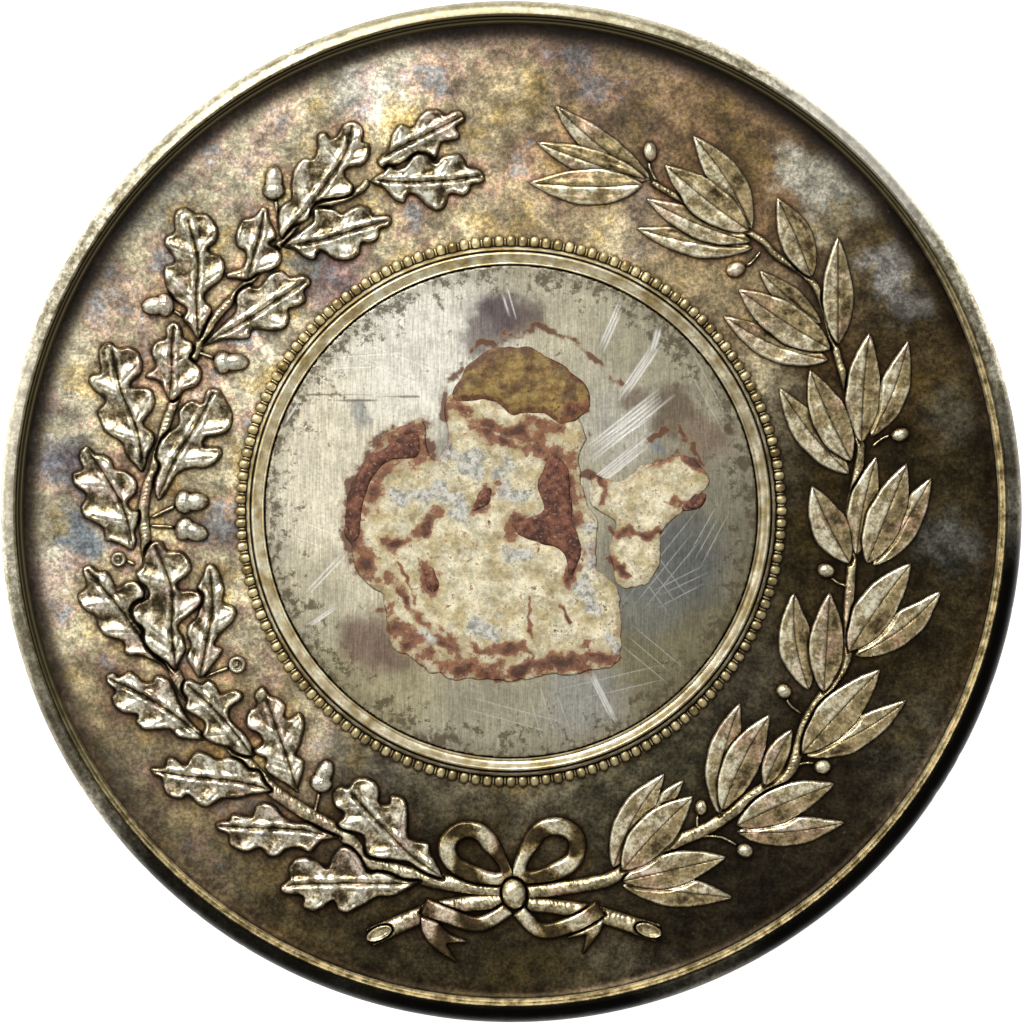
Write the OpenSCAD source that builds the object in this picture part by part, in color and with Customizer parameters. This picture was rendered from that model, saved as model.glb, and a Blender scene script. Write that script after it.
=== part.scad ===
// A round struck prize medal, lying on its back with the front face up.
// Every raised detail stands on the flat of the blank, and lengths are in millimetres.
// The front is drawn for design_d and is fitted into the band between beads and rim.

/* [Blank] */
// Diameter over the rim
medal_d = 50; // [42:1:66]
// Thickness over both rims
medal_t = 4.0; // [3.4:0.1:6]
// Depth of the front field below the front rim
front_sink = 0.8; // [0.7:0.05:1.2]
// Depth of the back field below the back rim
back_sink = 0.5; // [0.3:0.05:0.8]

/* [Rim] */
// Width of the raised flat band round the edge
listel_w = 0.8; // [0.5:0.05:1.4]
// Rounding of the outer edge of that band
listel_round = 0.3; // [0.1:0.05:0.45]
// Width of the lower step inside the band
step_w = 0.35; // [0.2:0.05:0.6]
// Height that the step stays below the band
step_drop = 0.25; // [0.1:0.05:0.4]
// Width of the cove between the step and the field
cove_w = 0.5; // [0.2:0.05:0.8]
// Height of that cove above the field
cove_h = 0.25; // [0.1:0.05:0.4]

/* [Cartouche] */
// Radius of the plain centre plate
plate_r = 12.1; // [10:0.1:13]
// Height of the plate above the field
plate_h = 0.12; // [0.05:0.01:0.3]
// Width of the ridged moulding round the plate
moulding_w = 0.85; // [0.5:0.05:1.2]
// Height of the moulding above the field
moulding_h = 0.5; // [0.35:0.05:0.7]
// Ridges across the moulding
moulding_ridges = 3; // [2:1:4]
// Beads in the ring round the moulding
bead_count = 144; // [96:4:160]
// Length of a bead, towards the centre
bead_l = 0.55; // [0.3:0.05:0.8]
// Width of a bead along the ring
bead_w = 0.36; // [0.2:0.02:0.46]

/* [Branches] */
// Height of the oak leaves above the field
oak_h = 0.42; // [0.2:0.02:0.6]
// Height of the laurel leaves above the field
laurel_h = 0.34; // [0.2:0.02:0.6]
// Height of the stems above the field
stem_h = 0.3; // [0.15:0.02:0.5]
// Height of a midrib above its leaf
rib_h = 0.08; // [0.04:0.01:0.15]
// Width of a midrib at the base of its leaf
rib_w = 0.16; // [0.1:0.02:0.3]
// Share of its drawn width that each leaf keeps
leaf_width = 1.0; // [0.8:0.02:1.1]
// Width of an acorn cup
cup_w = 1.15; // [0.8:0.05:1.3]
// Width of a laurel berry
berry_w = 0.8; // [0.5:0.05:1.0]
// Width of a main stem where it leaves the knot
stem_w = 0.62; // [0.4:0.02:0.8]

/* [Bow] */
// Width of the ribbon
ribbon_w = 0.78; // [0.5:0.02:1.0]
// Height of the ribbon above the field
ribbon_h = 0.46; // [0.3:0.02:0.6]
// Height of the knot above the field
knot_h = 0.6; // [0.4:0.02:0.7]

/* [Dried residue] */
// Thickness of the dried glue on the plate
glue_t = 0.06; // [0.03:0.01:0.15]
// Thickness of the red crust on the plate
crust_t = 0.09; // [0.03:0.01:0.2]

/* [Hidden] */
$fn = 96;

medal_r = medal_d / 2;
top_z = medal_t;
field_z = medal_t - front_sink;
back_z = back_sink;
listel_r = medal_r - listel_w;      // inner edge of the raised band
step_r = listel_r - step_w;         // inner edge of the step
field_r = step_r - cove_w;          // where the flat field begins
moulding_r = plate_r + moulding_w;  // outer edge of the moulding
bead_r = moulding_r + bead_l / 2;   // circle that the bead centres lie on
ring_r = moulding_r + bead_l;       // outer edge of the beads
through = medal_t;                  // how far a cutting outline reaches up

// The drawing's own sizes, which the branches and the residue were laid out for.
drawn_step_r = 23.85;
drawn_ring_r = 13.5;
drawn_plate_r = 12.1;

// Moves a drawn point so that the band between beads and rim keeps its layout.
function placed(p) =
    let (r = norm(p), share = (r - drawn_ring_r) / (drawn_step_r - drawn_ring_r))
    p / r * (ring_r + share * (step_r - ring_r));

function last(v) = v[len(v) - 1];
function centre_of(v) = [for (p = v) 1 / len(v)] * v;
function reversed(v) = [for (i = [len(v) - 1 : -1 : 0]) v[i]];
function side_of(a, b) = let (d = (b - a) / norm(b - a)) [-d[1], d[0]];

// One point of a smooth curve between b and c, with a and d as their neighbours.
function curve_at(a, b, c, d, t) = 0.5 * (
    2 * b + (c - a) * t + (2 * a - 5 * b + 4 * c - d) * t * t
    + (3 * b - a - 3 * c + d) * t * t * t);

// A smooth open curve through the points.
function smooth(p, parts = 4) = let (n = len(p)) [
    for (i = [0 : n - 2], k = [0 : parts - 1])
        curve_at(p[max(i - 1, 0)], p[i], p[i + 1], p[min(i + 2, n - 1)], k / parts),
    last(p)
];

// A smooth closed curve through the points.
function smooth_loop(p, parts = 4) = let (n = len(p)) [
    for (i = [0 : n - 1], k = [0 : parts - 1])
        curve_at(p[(i + n - 1) % n], p[i], p[(i + 1) % n], p[(i + 2) % n], k / parts)
];

// The outline of a band along a curve, from one width to another.
function band(p, w0, w1) = let (
    n = len(p),
    edge = [for (i = [0 : n - 1])
        side_of(p[max(i - 1, 0)], p[min(i + 1, n - 1)]) * (w0 + (w1 - w0) * i / (n - 1)) / 2]
) concat([for (i = [0 : n - 1]) p[i] + edge[i]], reversed([for (i = [0 : n - 1]) p[i] - edge[i]]));

// Half the width of a laurel leaf at t along it, for a width of 1.
function laurel_half(t) = 0.5 * pow(sin(180 * pow(t, 0.85)), 0.9);

// Oak leaves: spray, midrib, outline. A leaf further down the list lies on top.
oak = [
    [2, [[-11.3, 13.3], [-9.8, 15], [-8.2, 17.3], [-7.8, 18.8]], [
        [-11.3, 13.3], [-11.4, 14.6], [-11.1, 15.1], [-10.8, 15.3], [-10.8, 16.1], [-10.6, 16.8],
        [-10.2, 17.3], [-9.7, 17.3], [-9.5, 17.8], [-9.5, 18.4], [-9.1, 18.6], [-8.8, 18.3],
        [-8.5, 18.5], [-8.3, 18.9], [-7.8, 19.1], [-7.3, 18.9], [-7.2, 18.4], [-7.3, 18.1],
        [-6.9, 18], [-6.9, 17.4], [-7.3, 16.9], [-8, 16.8], [-8.1, 16.4], [-7.7, 16], [-7.8, 15.5],
        [-8.5, 15.3], [-9.5, 15.1], [-9.9, 14.3], [-10.7, 13.9]
    ]],
    [2, [[-11.2, 13], [-9.5, 13.2], [-7.5, 13.8], [-6, 14.2]], [
        [-11.2, 13], [-10.2, 13.8], [-9.7, 14.2], [-9.7, 14.8], [-9.2, 14.9], [-8.6, 14.8],
        [-8.3, 14.6], [-7.9, 14.8], [-7.4, 15], [-6.9, 14.9], [-6.7, 14.5], [-6, 14.5],
        [-5.8, 14.2], [-6, 13.9], [-6.4, 13.8], [-6.5, 13.3], [-7, 13.1], [-7.3, 13.1],
        [-7.4, 12.6], [-7.8, 12.3], [-8.6, 12.3], [-9.3, 12.7], [-9.6, 12.3], [-10.1, 12.4],
        [-10.6, 12.8]
    ]],
    [2, [[-12.9, 11.3], [-12.6, 12.5], [-12.3, 13.5], [-12.1, 14.6]], [
        [-12.9, 11.3], [-13.9, 11.4], [-13.9, 11.7], [-13.1, 12], [-13, 12.7], [-13.4, 12.9],
        [-13.5, 13.5], [-13.2, 14.3], [-12.7, 14.4], [-12.4, 14.6], [-12.2, 14.9], [-11.9, 14.8],
        [-11.8, 14.3], [-11.5, 13.7], [-11.5, 13.3], [-11.8, 13.1], [-11.3, 12.8], [-11.2, 12.3],
        [-11.6, 11.8], [-12.4, 11.6]
    ]],
    [1, [[-6.6, 17.1], [-5.4, 17.8], [-4, 18.5], [-2.4, 19.3]], [
        [-6.6, 17.1], [-6.3, 17.5], [-6, 17.8], [-5.9, 18.3], [-5.7, 18.7], [-5.4, 19],
        [-5.1, 18.9], [-4.8, 18.8], [-4.6, 19.2], [-4.2, 19.6], [-3.8, 19.7], [-3.5, 19.7],
        [-3.2, 19.4], [-2.8, 19.6], [-2.4, 19.6], [-2.2, 19.2], [-2.4, 19], [-2.7, 18.8],
        [-2.5, 18.5], [-2.6, 18.2], [-3, 18.1], [-3.4, 18], [-3.5, 17.6], [-3.8, 17.1],
        [-4.4, 17.4], [-5.2, 17.1], [-6.1, 16.7]
    ]],
    [1, [[-6.9, 16.2], [-5, 16.1], [-3, 16.2], [-1.5, 16.4]], [
        [-6.9, 16.2], [-6.3, 16.6], [-6, 16.9], [-5.6, 16.8], [-5.2, 16.9], [-4.9, 17.3],
        [-4.6, 17.5], [-4.2, 17.5], [-3.9, 17.3], [-3.7, 17.1], [-3.4, 17.4], [-2.9, 17.5],
        [-2.5, 17.5], [-2.2, 17.2], [-2.1, 16.9], [-1.6, 16.8], [-1.3, 16.5], [-1.3, 16.2],
        [-1.6, 16], [-1.9, 16], [-2, 15.7], [-2.3, 15.4], [-2.7, 15.5], [-3, 15.5], [-3.1, 15.1],
        [-3.3, 14.8], [-3.7, 14.7], [-4.2, 15], [-4.6, 15.4], [-5, 15.5], [-5.2, 15.1],
        [-5.4, 15.1], [-5.8, 15.3], [-6.2, 15.8], [-6.7, 16]
    ]],
    [3, [[-15.3, 8.6], [-15.4, 10.6], [-15.3, 12.3], [-15.8, 14.2]], [
        [-15.3, 8.4], [-15.7, 9], [-16.1, 9.4], [-15.9, 9.9], [-16.5, 10.3], [-16.9, 11],
        [-17, 12], [-16.5, 12.2], [-16.7, 12.7], [-17, 13.1], [-16.9, 13.5], [-16.5, 13.7],
        [-16.5, 14.5], [-16.1, 14.9], [-15.7, 14.8], [-15.4, 14.6], [-14.9, 14.6], [-14.5, 14.2],
        [-14.3, 13.7], [-14.4, 13.2], [-14.8, 12.9], [-14.7, 12.7], [-14.2, 12.5], [-14, 12.2],
        [-14, 11.7], [-14.2, 11.3], [-14.8, 10.8], [-15, 10.4], [-14.6, 9.9], [-14.9, 9.2]
    ]],
    [3, [[-15, 8.2], [-13, 9.3], [-11.5, 10.3], [-10.1, 11.2]], [
        [-15.1, 8.1], [-14.4, 8.9], [-13.9, 9.4], [-13.5, 9.8], [-13.5, 10.4], [-13.3, 10.8],
        [-12.8, 11.1], [-12.4, 11], [-12.1, 11.3], [-11.7, 11.7], [-11.2, 11.8], [-10.8, 11.5],
        [-10.2, 11.6], [-9.8, 11.4], [-9.8, 11.1], [-10.1, 10.8], [-10, 10.3], [-10.5, 10],
        [-10.9, 9.9], [-10.8, 9.5], [-11, 9], [-11.7, 8.8], [-12.6, 8.9], [-12.8, 8.5],
        [-13.3, 8.4], [-14, 8.4]
    ]],
    [4, [[-16.7, 5.6], [-16.6, 6.6], [-16.6, 7.8], [-16.5, 9]], [
        [-16.7, 5.4], [-17.2, 6.3], [-17.8, 6.5], [-17.9, 6.7], [-17.4, 7.1], [-17.6, 7.6],
        [-17.6, 8.1], [-17.3, 8.4], [-16.9, 8.5], [-16.9, 9], [-16.5, 9.3], [-16.1, 9], [-16, 8.5],
        [-15.6, 8.3], [-15.5, 7.9], [-15.7, 7.5], [-15.2, 7.1], [-15.1, 6.6], [-15.4, 6.1],
        [-16, 5.9], [-16.2, 5.6]
    ]],
    [4, [[-18, 2.2], [-18.3, 4], [-19.1, 6], [-19.5, 7.9]], [
        [-18, 1.9], [-18.5, 2.3], [-18.9, 2.8], [-19, 3.3], [-19.4, 3.6], [-19.9, 3.9],
        [-20.1, 4.3], [-20.3, 4.9], [-20, 5.2], [-19.9, 5.5], [-20.4, 5.9], [-20.7, 6.4],
        [-20.5, 6.7], [-20.1, 6.8], [-20.2, 7.4], [-20.2, 7.9], [-20, 8.2], [-19.6, 8.3],
        [-19.2, 8], [-18.7, 8.1], [-18.2, 7.8], [-18, 7.2], [-18.1, 6.7], [-18.5, 6.4],
        [-18.6, 6.1], [-18.1, 6.1], [-17.6, 6], [-17.4, 5.5], [-17.5, 5], [-18, 4.3], [-17.5, 3.9],
        [-17.4, 3.4], [-17.7, 2.8]
    ]],
    [4, [[-17.2, 0.8], [-16.4, 2.6], [-15.4, 4.2], [-14.6, 5.8]], [
        [-17.3, 0.5], [-16.8, 1], [-16.5, 1.6], [-16.2, 1.9], [-15.5, 2.1], [-14.9, 2.1],
        [-14.3, 2.5], [-14.1, 2.9], [-14.3, 3.2], [-15, 3.2], [-14.9, 3.6], [-14.2, 3.7],
        [-13.7, 4.1], [-13.6, 4.8], [-13.9, 5.4], [-14.1, 5.8], [-14.3, 6], [-14.8, 6], [-15, 5.7],
        [-15.1, 5.3], [-15.6, 5.5], [-16, 5.3], [-16.3, 4.9], [-16.3, 4.3], [-16.8, 3.9],
        [-17.2, 3.4], [-17.4, 2.7], [-17.2, 2.2], [-17.5, 1.4]
    ]],
    [5, [[-18.5, -1.7], [-18.9, 0], [-19.7, 1.5], [-20.7, 3]], [
        [-18.5, -1.9], [-19, -1.7], [-19.5, -1.5], [-19.9, -1.4], [-20, -0.8], [-20.5, -0.5],
        [-20.9, -0.3], [-21.1, 0.2], [-20.8, 0.8], [-21.4, 1.3], [-21.5, 1.9], [-21, 2.1],
        [-21.2, 2.6], [-21.1, 3], [-20.7, 3.2], [-20.3, 2.8], [-19.9, 2.8], [-19.5, 2.5],
        [-19.4, 2.1], [-18.8, 2], [-18.3, 1.5], [-18.3, 0.9], [-18.7, 0.5], [-18.6, 0.1],
        [-18.2, 0], [-18.2, -0.5], [-18.4, -1], [-18.3, -1.4]
    ]],
    [5, [[-15.2, -8], [-14.9, -6.5], [-14.6, -4.8], [-14.7, -3]], [
        [-15.2, -8.2], [-15.6, -7.7], [-15.9, -7.1], [-15.7, -6.5], [-15.9, -6.1], [-15.8, -5.5],
        [-15.4, -5.1], [-15.3, -4.4], [-15.4, -3.7], [-15.1, -3.1], [-14.9, -2.6], [-14.5, -2.6],
        [-14.2, -3.1], [-14, -3.8], [-14.1, -4.4], [-13.6, -4.6], [-13.4, -4.9], [-13.6, -5.4],
        [-14.1, -5.9], [-14.5, -6.5], [-14.1, -6.7], [-14.2, -7], [-14.6, -7.6]
    ]],
    [5, [[-16.8, -7.8], [-18.2, -6], [-19.4, -4.4], [-20.7, -2.9]], [
        [-16.6, -8], [-17.2, -7.5], [-18, -7.1], [-18.9, -7], [-19, -6.4], [-19.6, -6.2],
        [-20.1, -5.9], [-20.3, -5.4], [-20.4, -5.1], [-20.9, -4.8], [-21.2, -4.4], [-21.2, -4],
        [-20.8, -3.7], [-20.9, -3.2], [-21, -2.8], [-20.6, -2.6], [-20.2, -2.9], [-19.8, -2.9],
        [-19.5, -3.3], [-19.3, -3.7], [-18.8, -3.4], [-18.3, -3.4], [-17.9, -3.9], [-18, -5],
        [-17.6, -6.4]
    ]],
    [5, [[-16.4, -7.6], [-16.6, -5.8], [-16.6, -3.8], [-17.4, -1.7]], [
        [-16.4, -7.8], [-16.9, -7.4], [-17.6, -6.9], [-18, -6.3], [-18, -5.8], [-18.4, -5.4],
        [-18.6, -4.9], [-18.4, -4.5], [-17.8, -4.2], [-17.8, -3.9], [-18.2, -3.4], [-18.4, -3],
        [-18.1, -2.7], [-18, -2.2], [-17.8, -1.7], [-17.4, -1.4], [-17, -1.5], [-16.8, -1.9],
        [-16.2, -1.9], [-15.8, -2.2], [-15.6, -2.8], [-15.9, -3.2], [-16.3, -3.5], [-16.2, -3.8],
        [-15.5, -3.8], [-15.1, -4.1], [-15.2, -4.6], [-15.7, -5.1], [-16.3, -5.6], [-16, -6.1],
        [-15.9, -6.8], [-16.2, -7.4]
    ]],
    [6, [[-15, -11.1], [-16.4, -10], [-18, -9], [-19.6, -8.2]], [
        [-14.9, -11.2], [-15.6, -11.2], [-16.3, -11.1], [-16.7, -10.7], [-17.4, -10.7],
        [-18, -10.7], [-18.4, -10.3], [-18.3, -10], [-18.9, -9.9], [-19.4, -9.6], [-19.6, -9.1],
        [-19.4, -8.8], [-19.8, -8.4], [-19.8, -8], [-19.4, -7.9], [-19.2, -8.1], [-18.7, -7.8],
        [-18.3, -8], [-18, -8.3], [-17.6, -8.3], [-17.4, -8], [-16.9, -8.1], [-16.5, -8.6],
        [-16.2, -9.3], [-15.7, -10.2], [-15.1, -10.8]
    ]],
    [6, [[-12.7, -11.9], [-13.6, -10.7], [-14.7, -9.5], [-15.8, -8.5]], [
        [-12.5, -12], [-13.4, -11.9], [-13.8, -11.6], [-14.5, -11.4], [-15.12, -11], [-15, -10.4],
        [-15.5, -10], [-16, -9.7], [-15.9, -9.2], [-16.1, -8.8], [-16, -8.3], [-15.6, -8.2],
        [-15.2, -8.4], [-14.8, -8.2], [-14.4, -8.5], [-14.2, -8.9], [-13.7, -8.7], [-13.2, -8.8],
        [-13.1, -9.2], [-13.7, -9.6], [-13.7, -10.2], [-13.1, -10.8], [-12.7, -11.4]
    ]],
    [7, [[-10.5, -13.6], [-10.9, -12.2], [-11.4, -10.8], [-12, -9]], [
        [-10.4, -13.8], [-11, -13.4], [-11.7, -13], [-12.1, -12.5], [-12, -12.1], [-12.5, -11.9],
        [-12.6, -11.6], [-12.2, -11.3], [-12.4, -10.9], [-12.9, -10.6], [-13, -10.1],
        [-12.8, -9.7], [-12.5, -9.5], [-12.6, -9], [-12.3, -8.6], [-12, -8.6], [-11.8, -9],
        [-11.4, -9.1], [-11, -9.5], [-11.1, -10], [-10.8, -10.1], [-10.4, -9.8], [-10.1, -10.1],
        [-10.1, -10.7], [-10.3, -11.5], [-10.5, -11.9], [-10.1, -12.2], [-10.2, -12.9],
        [-10.4, -13.5]
    ]],
    [7, [[-11.9, -13.6], [-13.5, -13.2], [-15.5, -13], [-17.5, -12.7]], [
        [-11.7, -13.7], [-12.7, -13.9], [-13.4, -14.1], [-14.1, -14.1], [-14.5, -14.3],
        [-14.9, -14.5], [-15.3, -14.4], [-15.8, -13.9], [-16.1, -14.1], [-16.7, -14], [-17, -13.7],
        [-17.1, -13.1], [-17.5, -12.9], [-17.7, -12.6], [-17.5, -12.5], [-17, -12.5],
        [-16.9, -12.1], [-16.5, -12], [-16, -12.4], [-15.7, -12], [-15.3, -11.7], [-14.7, -11.9],
        [-14.3, -12.1], [-13.8, -12], [-13.2, -12.2], [-12.8, -12.6], [-12.3, -12.7], [-12, -13.3]
    ]],
    [8, [[-8.5, -16], [-10.2, -15.6], [-12.2, -15.5], [-14.3, -15.4]], [
        [-8.3, -16], [-9.2, -16.1], [-9.6, -16.5], [-9.9, -16.7], [-10.5, -16.5], [-11, -16.6],
        [-11.4, -16.9], [-11.9, -16.9], [-12.3, -16.5], [-12.9, -16.7], [-13.4, -16.6],
        [-13.8, -16.3], [-13.9, -15.8], [-14.4, -15.6], [-14.5, -15.3], [-14.2, -15.1],
        [-13.8, -15.1], [-13.7, -14.8], [-13.3, -14.8], [-12.7, -14.9], [-12.5, -14.4],
        [-12.1, -14.2], [-11.5, -14.4], [-11.1, -14.9], [-10.6, -15.2], [-10, -15.2], [-9.2, -15.6]
    ]],
    [8, [[-4.6, -18.2], [-6.5, -18.2], [-9, -18.2], [-11.1, -18.3]], [
        [-4.4, -18.1], [-5.2, -18.6], [-5.9, -18.9], [-6.5, -18.9], [-7, -19.2], [-7.6, -19.5],
        [-8.1, -19.7], [-8.5, -19.5], [-8.7, -19.1], [-9.2, -19.4], [-9.7, -19.6], [-10.2, -19.4],
        [-10.2, -18.9], [-10.7, -18.8], [-11.2, -18.7], [-11.3, -18.3], [-10.9, -18],
        [-10.9, -17.4], [-10.6, -17], [-10, -16.9], [-9.4, -17.1], [-9, -17.4], [-8.8, -16.9],
        [-8.4, -16.4], [-7.9, -16.4], [-7.4, -16.9], [-7, -17.6], [-6.5, -17.6], [-5.9, -17.7],
        [-5.3, -18]
    ]],
    [8, [[-3.5, -17.8], [-4.9, -16.8], [-6.4, -15.3], [-7.8, -13.8]], [
        [-3.3, -18], [-4.4, -17.6], [-5, -17.2], [-5.8, -17.1], [-6.6, -17], [-7.1, -16.8],
        [-7.2, -16.2], [-7.3, -15.9], [-7.8, -15.7], [-8.4, -15.5], [-8.5, -15.2], [-8.2, -14.8],
        [-8.6, -14.5], [-8.8, -14], [-8.7, -13.6], [-8.3, -13.4], [-8, -13.5], [-7.8, -13.2],
        [-7.4, -13], [-6.8, -13.1], [-6.4, -13.6], [-6.4, -14.2], [-6, -14.3], [-5.9, -13.9],
        [-5.4, -13.9], [-5.1, -14.2], [-5, -14.9], [-5, -15.9], [-4.5, -16.1], [-4, -16.2],
        [-3.9, -16.7], [-3.6, -17.3]
    ]]
];

// Laurel leaves: base, tip, width, spray. A leaf further down the list lies on top.
laurel = [
    [[6.9, 16.2], [2.1, 19.95], 1.3, 1],
    [[6.7, 16.2], [1.2, 18.1], 1.3, 1],
    [[6.5, 16.0], [0.85, 16.1], 1.6, 1],
    [[11.8, 13.8], [8.85, 18.45], 1.4, 2],
    [[11.9, 12.9], [6.05, 13.9], 1.2, 2],
    [[11.8, 13.2], [6.55, 15.35], 1.3, 2],
    [[11.7, 13.7], [7.5, 17.0], 1.6, 2],
    [[14.7, 11.4], [13.0, 15.4], 1.5, 3],
    [[15.2, 9.2], [12.1, 11.85], 1.1, 3],
    [[15.6, 7.4], [10.35, 9.6], 1.3, 3],
    [[15.7, 7.9], [11.1, 10.9], 1.6, 3],
    [[16.0, 8.1], [16.0, 13.5], 1.35, 3],
    [[17.6, 3.6], [19.45, 8.4], 1.3, 4],
    [[17.15, 3.3], [17.55, 8.8], 1.5, 4],
    [[16.6, 1.8], [13.1, 6.1], 1.4, 4],
    [[16.7, 2.4], [14.6, 7.0], 1.6, 4],
    [[17.7, -2.7], [20.6, 1.7], 1.4, 5],
    [[16.9, -2.2], [17.9, 2.75], 1.3, 5],
    [[16.6, -2.6], [14.7, 1.3], 1.6, 5],
    [[17.4, -2.6], [19.4, 2.4], 1.6, 5],
    [[16.8, -7.1], [21.1, -3.85], 1.4, 6],
    [[16.5, -6.9], [19.6, -2.5], 1.7, 6],
    [[14.6, -8.8], [13.85, -3.9], 1.5, 6],
    [[15.3, -8.9], [15.6, -3.9], 1.5, 6],
    [[14.4, -12.0], [19.4, -9.2], 1.3, 7],
    [[14.2, -11.9], [18.1, -7.7], 1.7, 7],
    [[12.4, -13.5], [13.8, -10.6], 1.0, 8],
    [[10.2, -14.9], [11.25, -9.3], 1.4, 8],
    [[10.3, -14.7], [12.7, -9.9], 1.5, 8],
    [[11.0, -15.7], [16.4, -15.2], 1.2, 8],
    [[11.0, -15.4], [15.9, -13.3], 1.5, 8],
    [[6.0, -16.3], [8.5, -13.1], 1.0, 9],
    [[5.0, -17.5], [7.55, -12.8], 1.5, 9],
    [[5.4, -18.3], [10.9, -18.9], 1.3, 9],
    [[5.4, -18.1], [10.6, -16.9], 1.5, 9],
    [[5.4, -17.6], [8.95, -13.9], 1.7, 9]
];

// Acorns: centre of the cup, tip of the nut.
acorns = [
    [[-11.6, 15.6], [-11.6, 17.0]],
    [[-16.9, 10.1], [-18.2, 10.0]],
    [[-14.2, 7.3], [-12.8, 7.3]],
    [[-16.1, 0.55], [-14.7, 0.55]],
    [[-16.1, -0.95], [-14.7, -1.2]],
    [[-9.3, -13.4], [-8.9, -12.1]]
];

// Laurel berries: centre, direction that they point in.
berries = [
    [[6.8, 17.6], 100], [[11.0, 11.85], 215], [[19.05, 3.75], 20], [[15.4, -2.9], 150],
    [[13.35, -8.8], 130], [[15.25, -12.5], 0], [[9.3, -14.5], 90], [[11.45, -16.6], -20]
];

// Routes of the stems, from the knot outwards.
oak_route = [
    [0, -18.6], [-3, -18.2], [-4.9, -17.8], [-7.0, -17.1], [-8.1, -15.9], [-9.8, -14.9],
    [-11.7, -13.6], [-13.2, -12], [-15.4, -9.5], [-16.4, -8.0], [-17.4, -5], [-17.95, -0.7],
    [-17.9, 0.8], [-17.4, 2.3], [-16.7, 4.8], [-15.5, 7.6], [-14.6, 9.3], [-12.8, 11.3],
    [-11.3, 13.1], [-9.9, 14.6], [-7.6, 15.6], [-7.0, 16.2]
];
laurel_route = [
    [0.6, -18.7], [4.0, -18.2], [5.2, -17.8], [7.8, -16.3], [9.8, -15.4], [12, -13.8],
    [13.7, -12.6], [14.4, -10.4], [15.4, -8.8], [16.4, -7.2], [16.5, -5], [16.7, -2],
    [16.6, 0], [17.1, 2.8], [16.8, 4.6], [16, 7.5], [14.9, 11], [13, 12.5], [11.9, 13.5],
    [8.3, 15.3], [6.9, 16.1]
];
oak_cut_route = [[-0.2, -19.1], [-2, -19.2], [-4, -19.6], [-6.9, -20.85]];
laurel_cut_route = [[0.8, -19.2], [3.8, -19.6], [7.2, -20.65]];
cut_stem_w = 0.72;

// Middle lines of the ribbon. A loop is closed, and a tail is folded over a cut stem,
// so it has one run up to the fold and one down from it.
loop_left = [
    [-0.2, -17.9], [-1.8, -17.75], [-2.9, -17.1], [-3.1, -16.2], [-2.4, -15.6],
    [-1.5, -15.75], [-0.8, -16.6]
];
loop_right = [
    [0.4, -17.8], [0.9, -16.4], [1.4, -15.65], [2.2, -15.4], [3.0, -15.7],
    [3.25, -16.4], [2.9, -17.2], [1.9, -17.7]
];
tail_left = [
    [[-0.1, -19.4], [-1.5, -20.2], [-3, -19.8], [-4.3, -19.3]],
    [[-4.0, -19.3], [-3.95, -20.2], [-3.4, -21.0], [-2.3, -21.6]]
];
tail_right = [
    [[0.3, -19.5], [1.5, -20.5], [3, -20.2], [4.4, -19.4]],
    [[4.2, -19.4], [3.9, -20.4], [3.0, -21.4]]
];
knot_place = [0.15, -18.7];
knot_size = [0.8, 1.3];
bow_reach = 8;   // leaves that begin nearer the knot than this can lie under the bow

// Outlines of the dried residue on the plate.
patch_outline = [
    [-8.0, -0.8], [-7.5, 1.6], [-6.4, 3.6], [-4.7, 4.5], [-4.2, 2.6], [-3.0, 4.6],
    [-1.0, 4.4], [1.4, 3.4], [2.8, 1.6], [3.8, -0.4], [4.0, -2.8], [5.4, -4.0],
    [5.2, -7.0], [3.4, -8.0], [0.2, -8.2], [-3.0, -8.2], [-5.6, -6.6], [-6.0, -4.4]
];
right_patch_outline = [
    [4.5, 1.9], [6.6, 2.3], [8.9, 2.6], [10.2, 1.2], [8.2, -0.2], [7.3, -1.6],
    [7.0, -3.2], [5.5, -3.5], [4.7, -2.0], [4.6, 0.0]
];
lump_outline = [
    [-2.5, 5.4], [-2.1, 7.1], [-0.4, 8.4], [1.6, 8.5], [3.6, 7.6], [3.7, 5.6],
    [2.4, 4.2], [1.2, 4.6], [-0.8, 5.2]
];
crust_outlines = [
    [[0.2, -0.6], [1.6, 0.2], [1.3, 1.4], [2.4, 2.4], [2.9, 0.9], [2.9, -0.8], [3.5, -2.0],
        [2.9, -3.3], [2.5, -2.0], [0.9, -1.5]],
    [[-7.9, -1.6], [-8.1, 0.6], [-7.2, 2.4], [-5.6, 3.6], [-4.4, 3.9], [-4.3, 2.4],
        [-6.2, 2.2], [-7.2, 0.4], [-7.1, -2.4]],
    [[-5.4, -6.6], [-3.9, -8.0], [-1.5, -8.2], [-1.9, -7.2], [-3.0, -6.2], [-4.2, -7.1]],
    [[-4.4, -3.0], [-3.9, -2.7], [-3.5, -3.4], [-3.7, -4.1], [-4.1, -3.7]]
];

function leaf_axis(leaf) = [placed(leaf[0]), placed(leaf[1])];

// The outline of a leaf whose half width is given along it as a list.
function leaf_outline(leaf, half) = let (
    ends = leaf_axis(leaf),
    edge = side_of(ends[0], ends[1]) * leaf[2] * leaf_width,
    n = len(half)
) concat(
    [for (i = [0 : n - 1]) ends[0] + (ends[1] - ends[0]) * i / (n - 1) + edge * half[i]],
    [for (i = [n - 2 : -1 : 1]) ends[0] + (ends[1] - ends[0]) * i / (n - 1) - edge * half[i]]
);

laurel_points = 14;
laurel_halves = [for (i = [0 : laurel_points])
    i == 0 || i == laurel_points ? 0 : laurel_half(i / laurel_points)];

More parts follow.
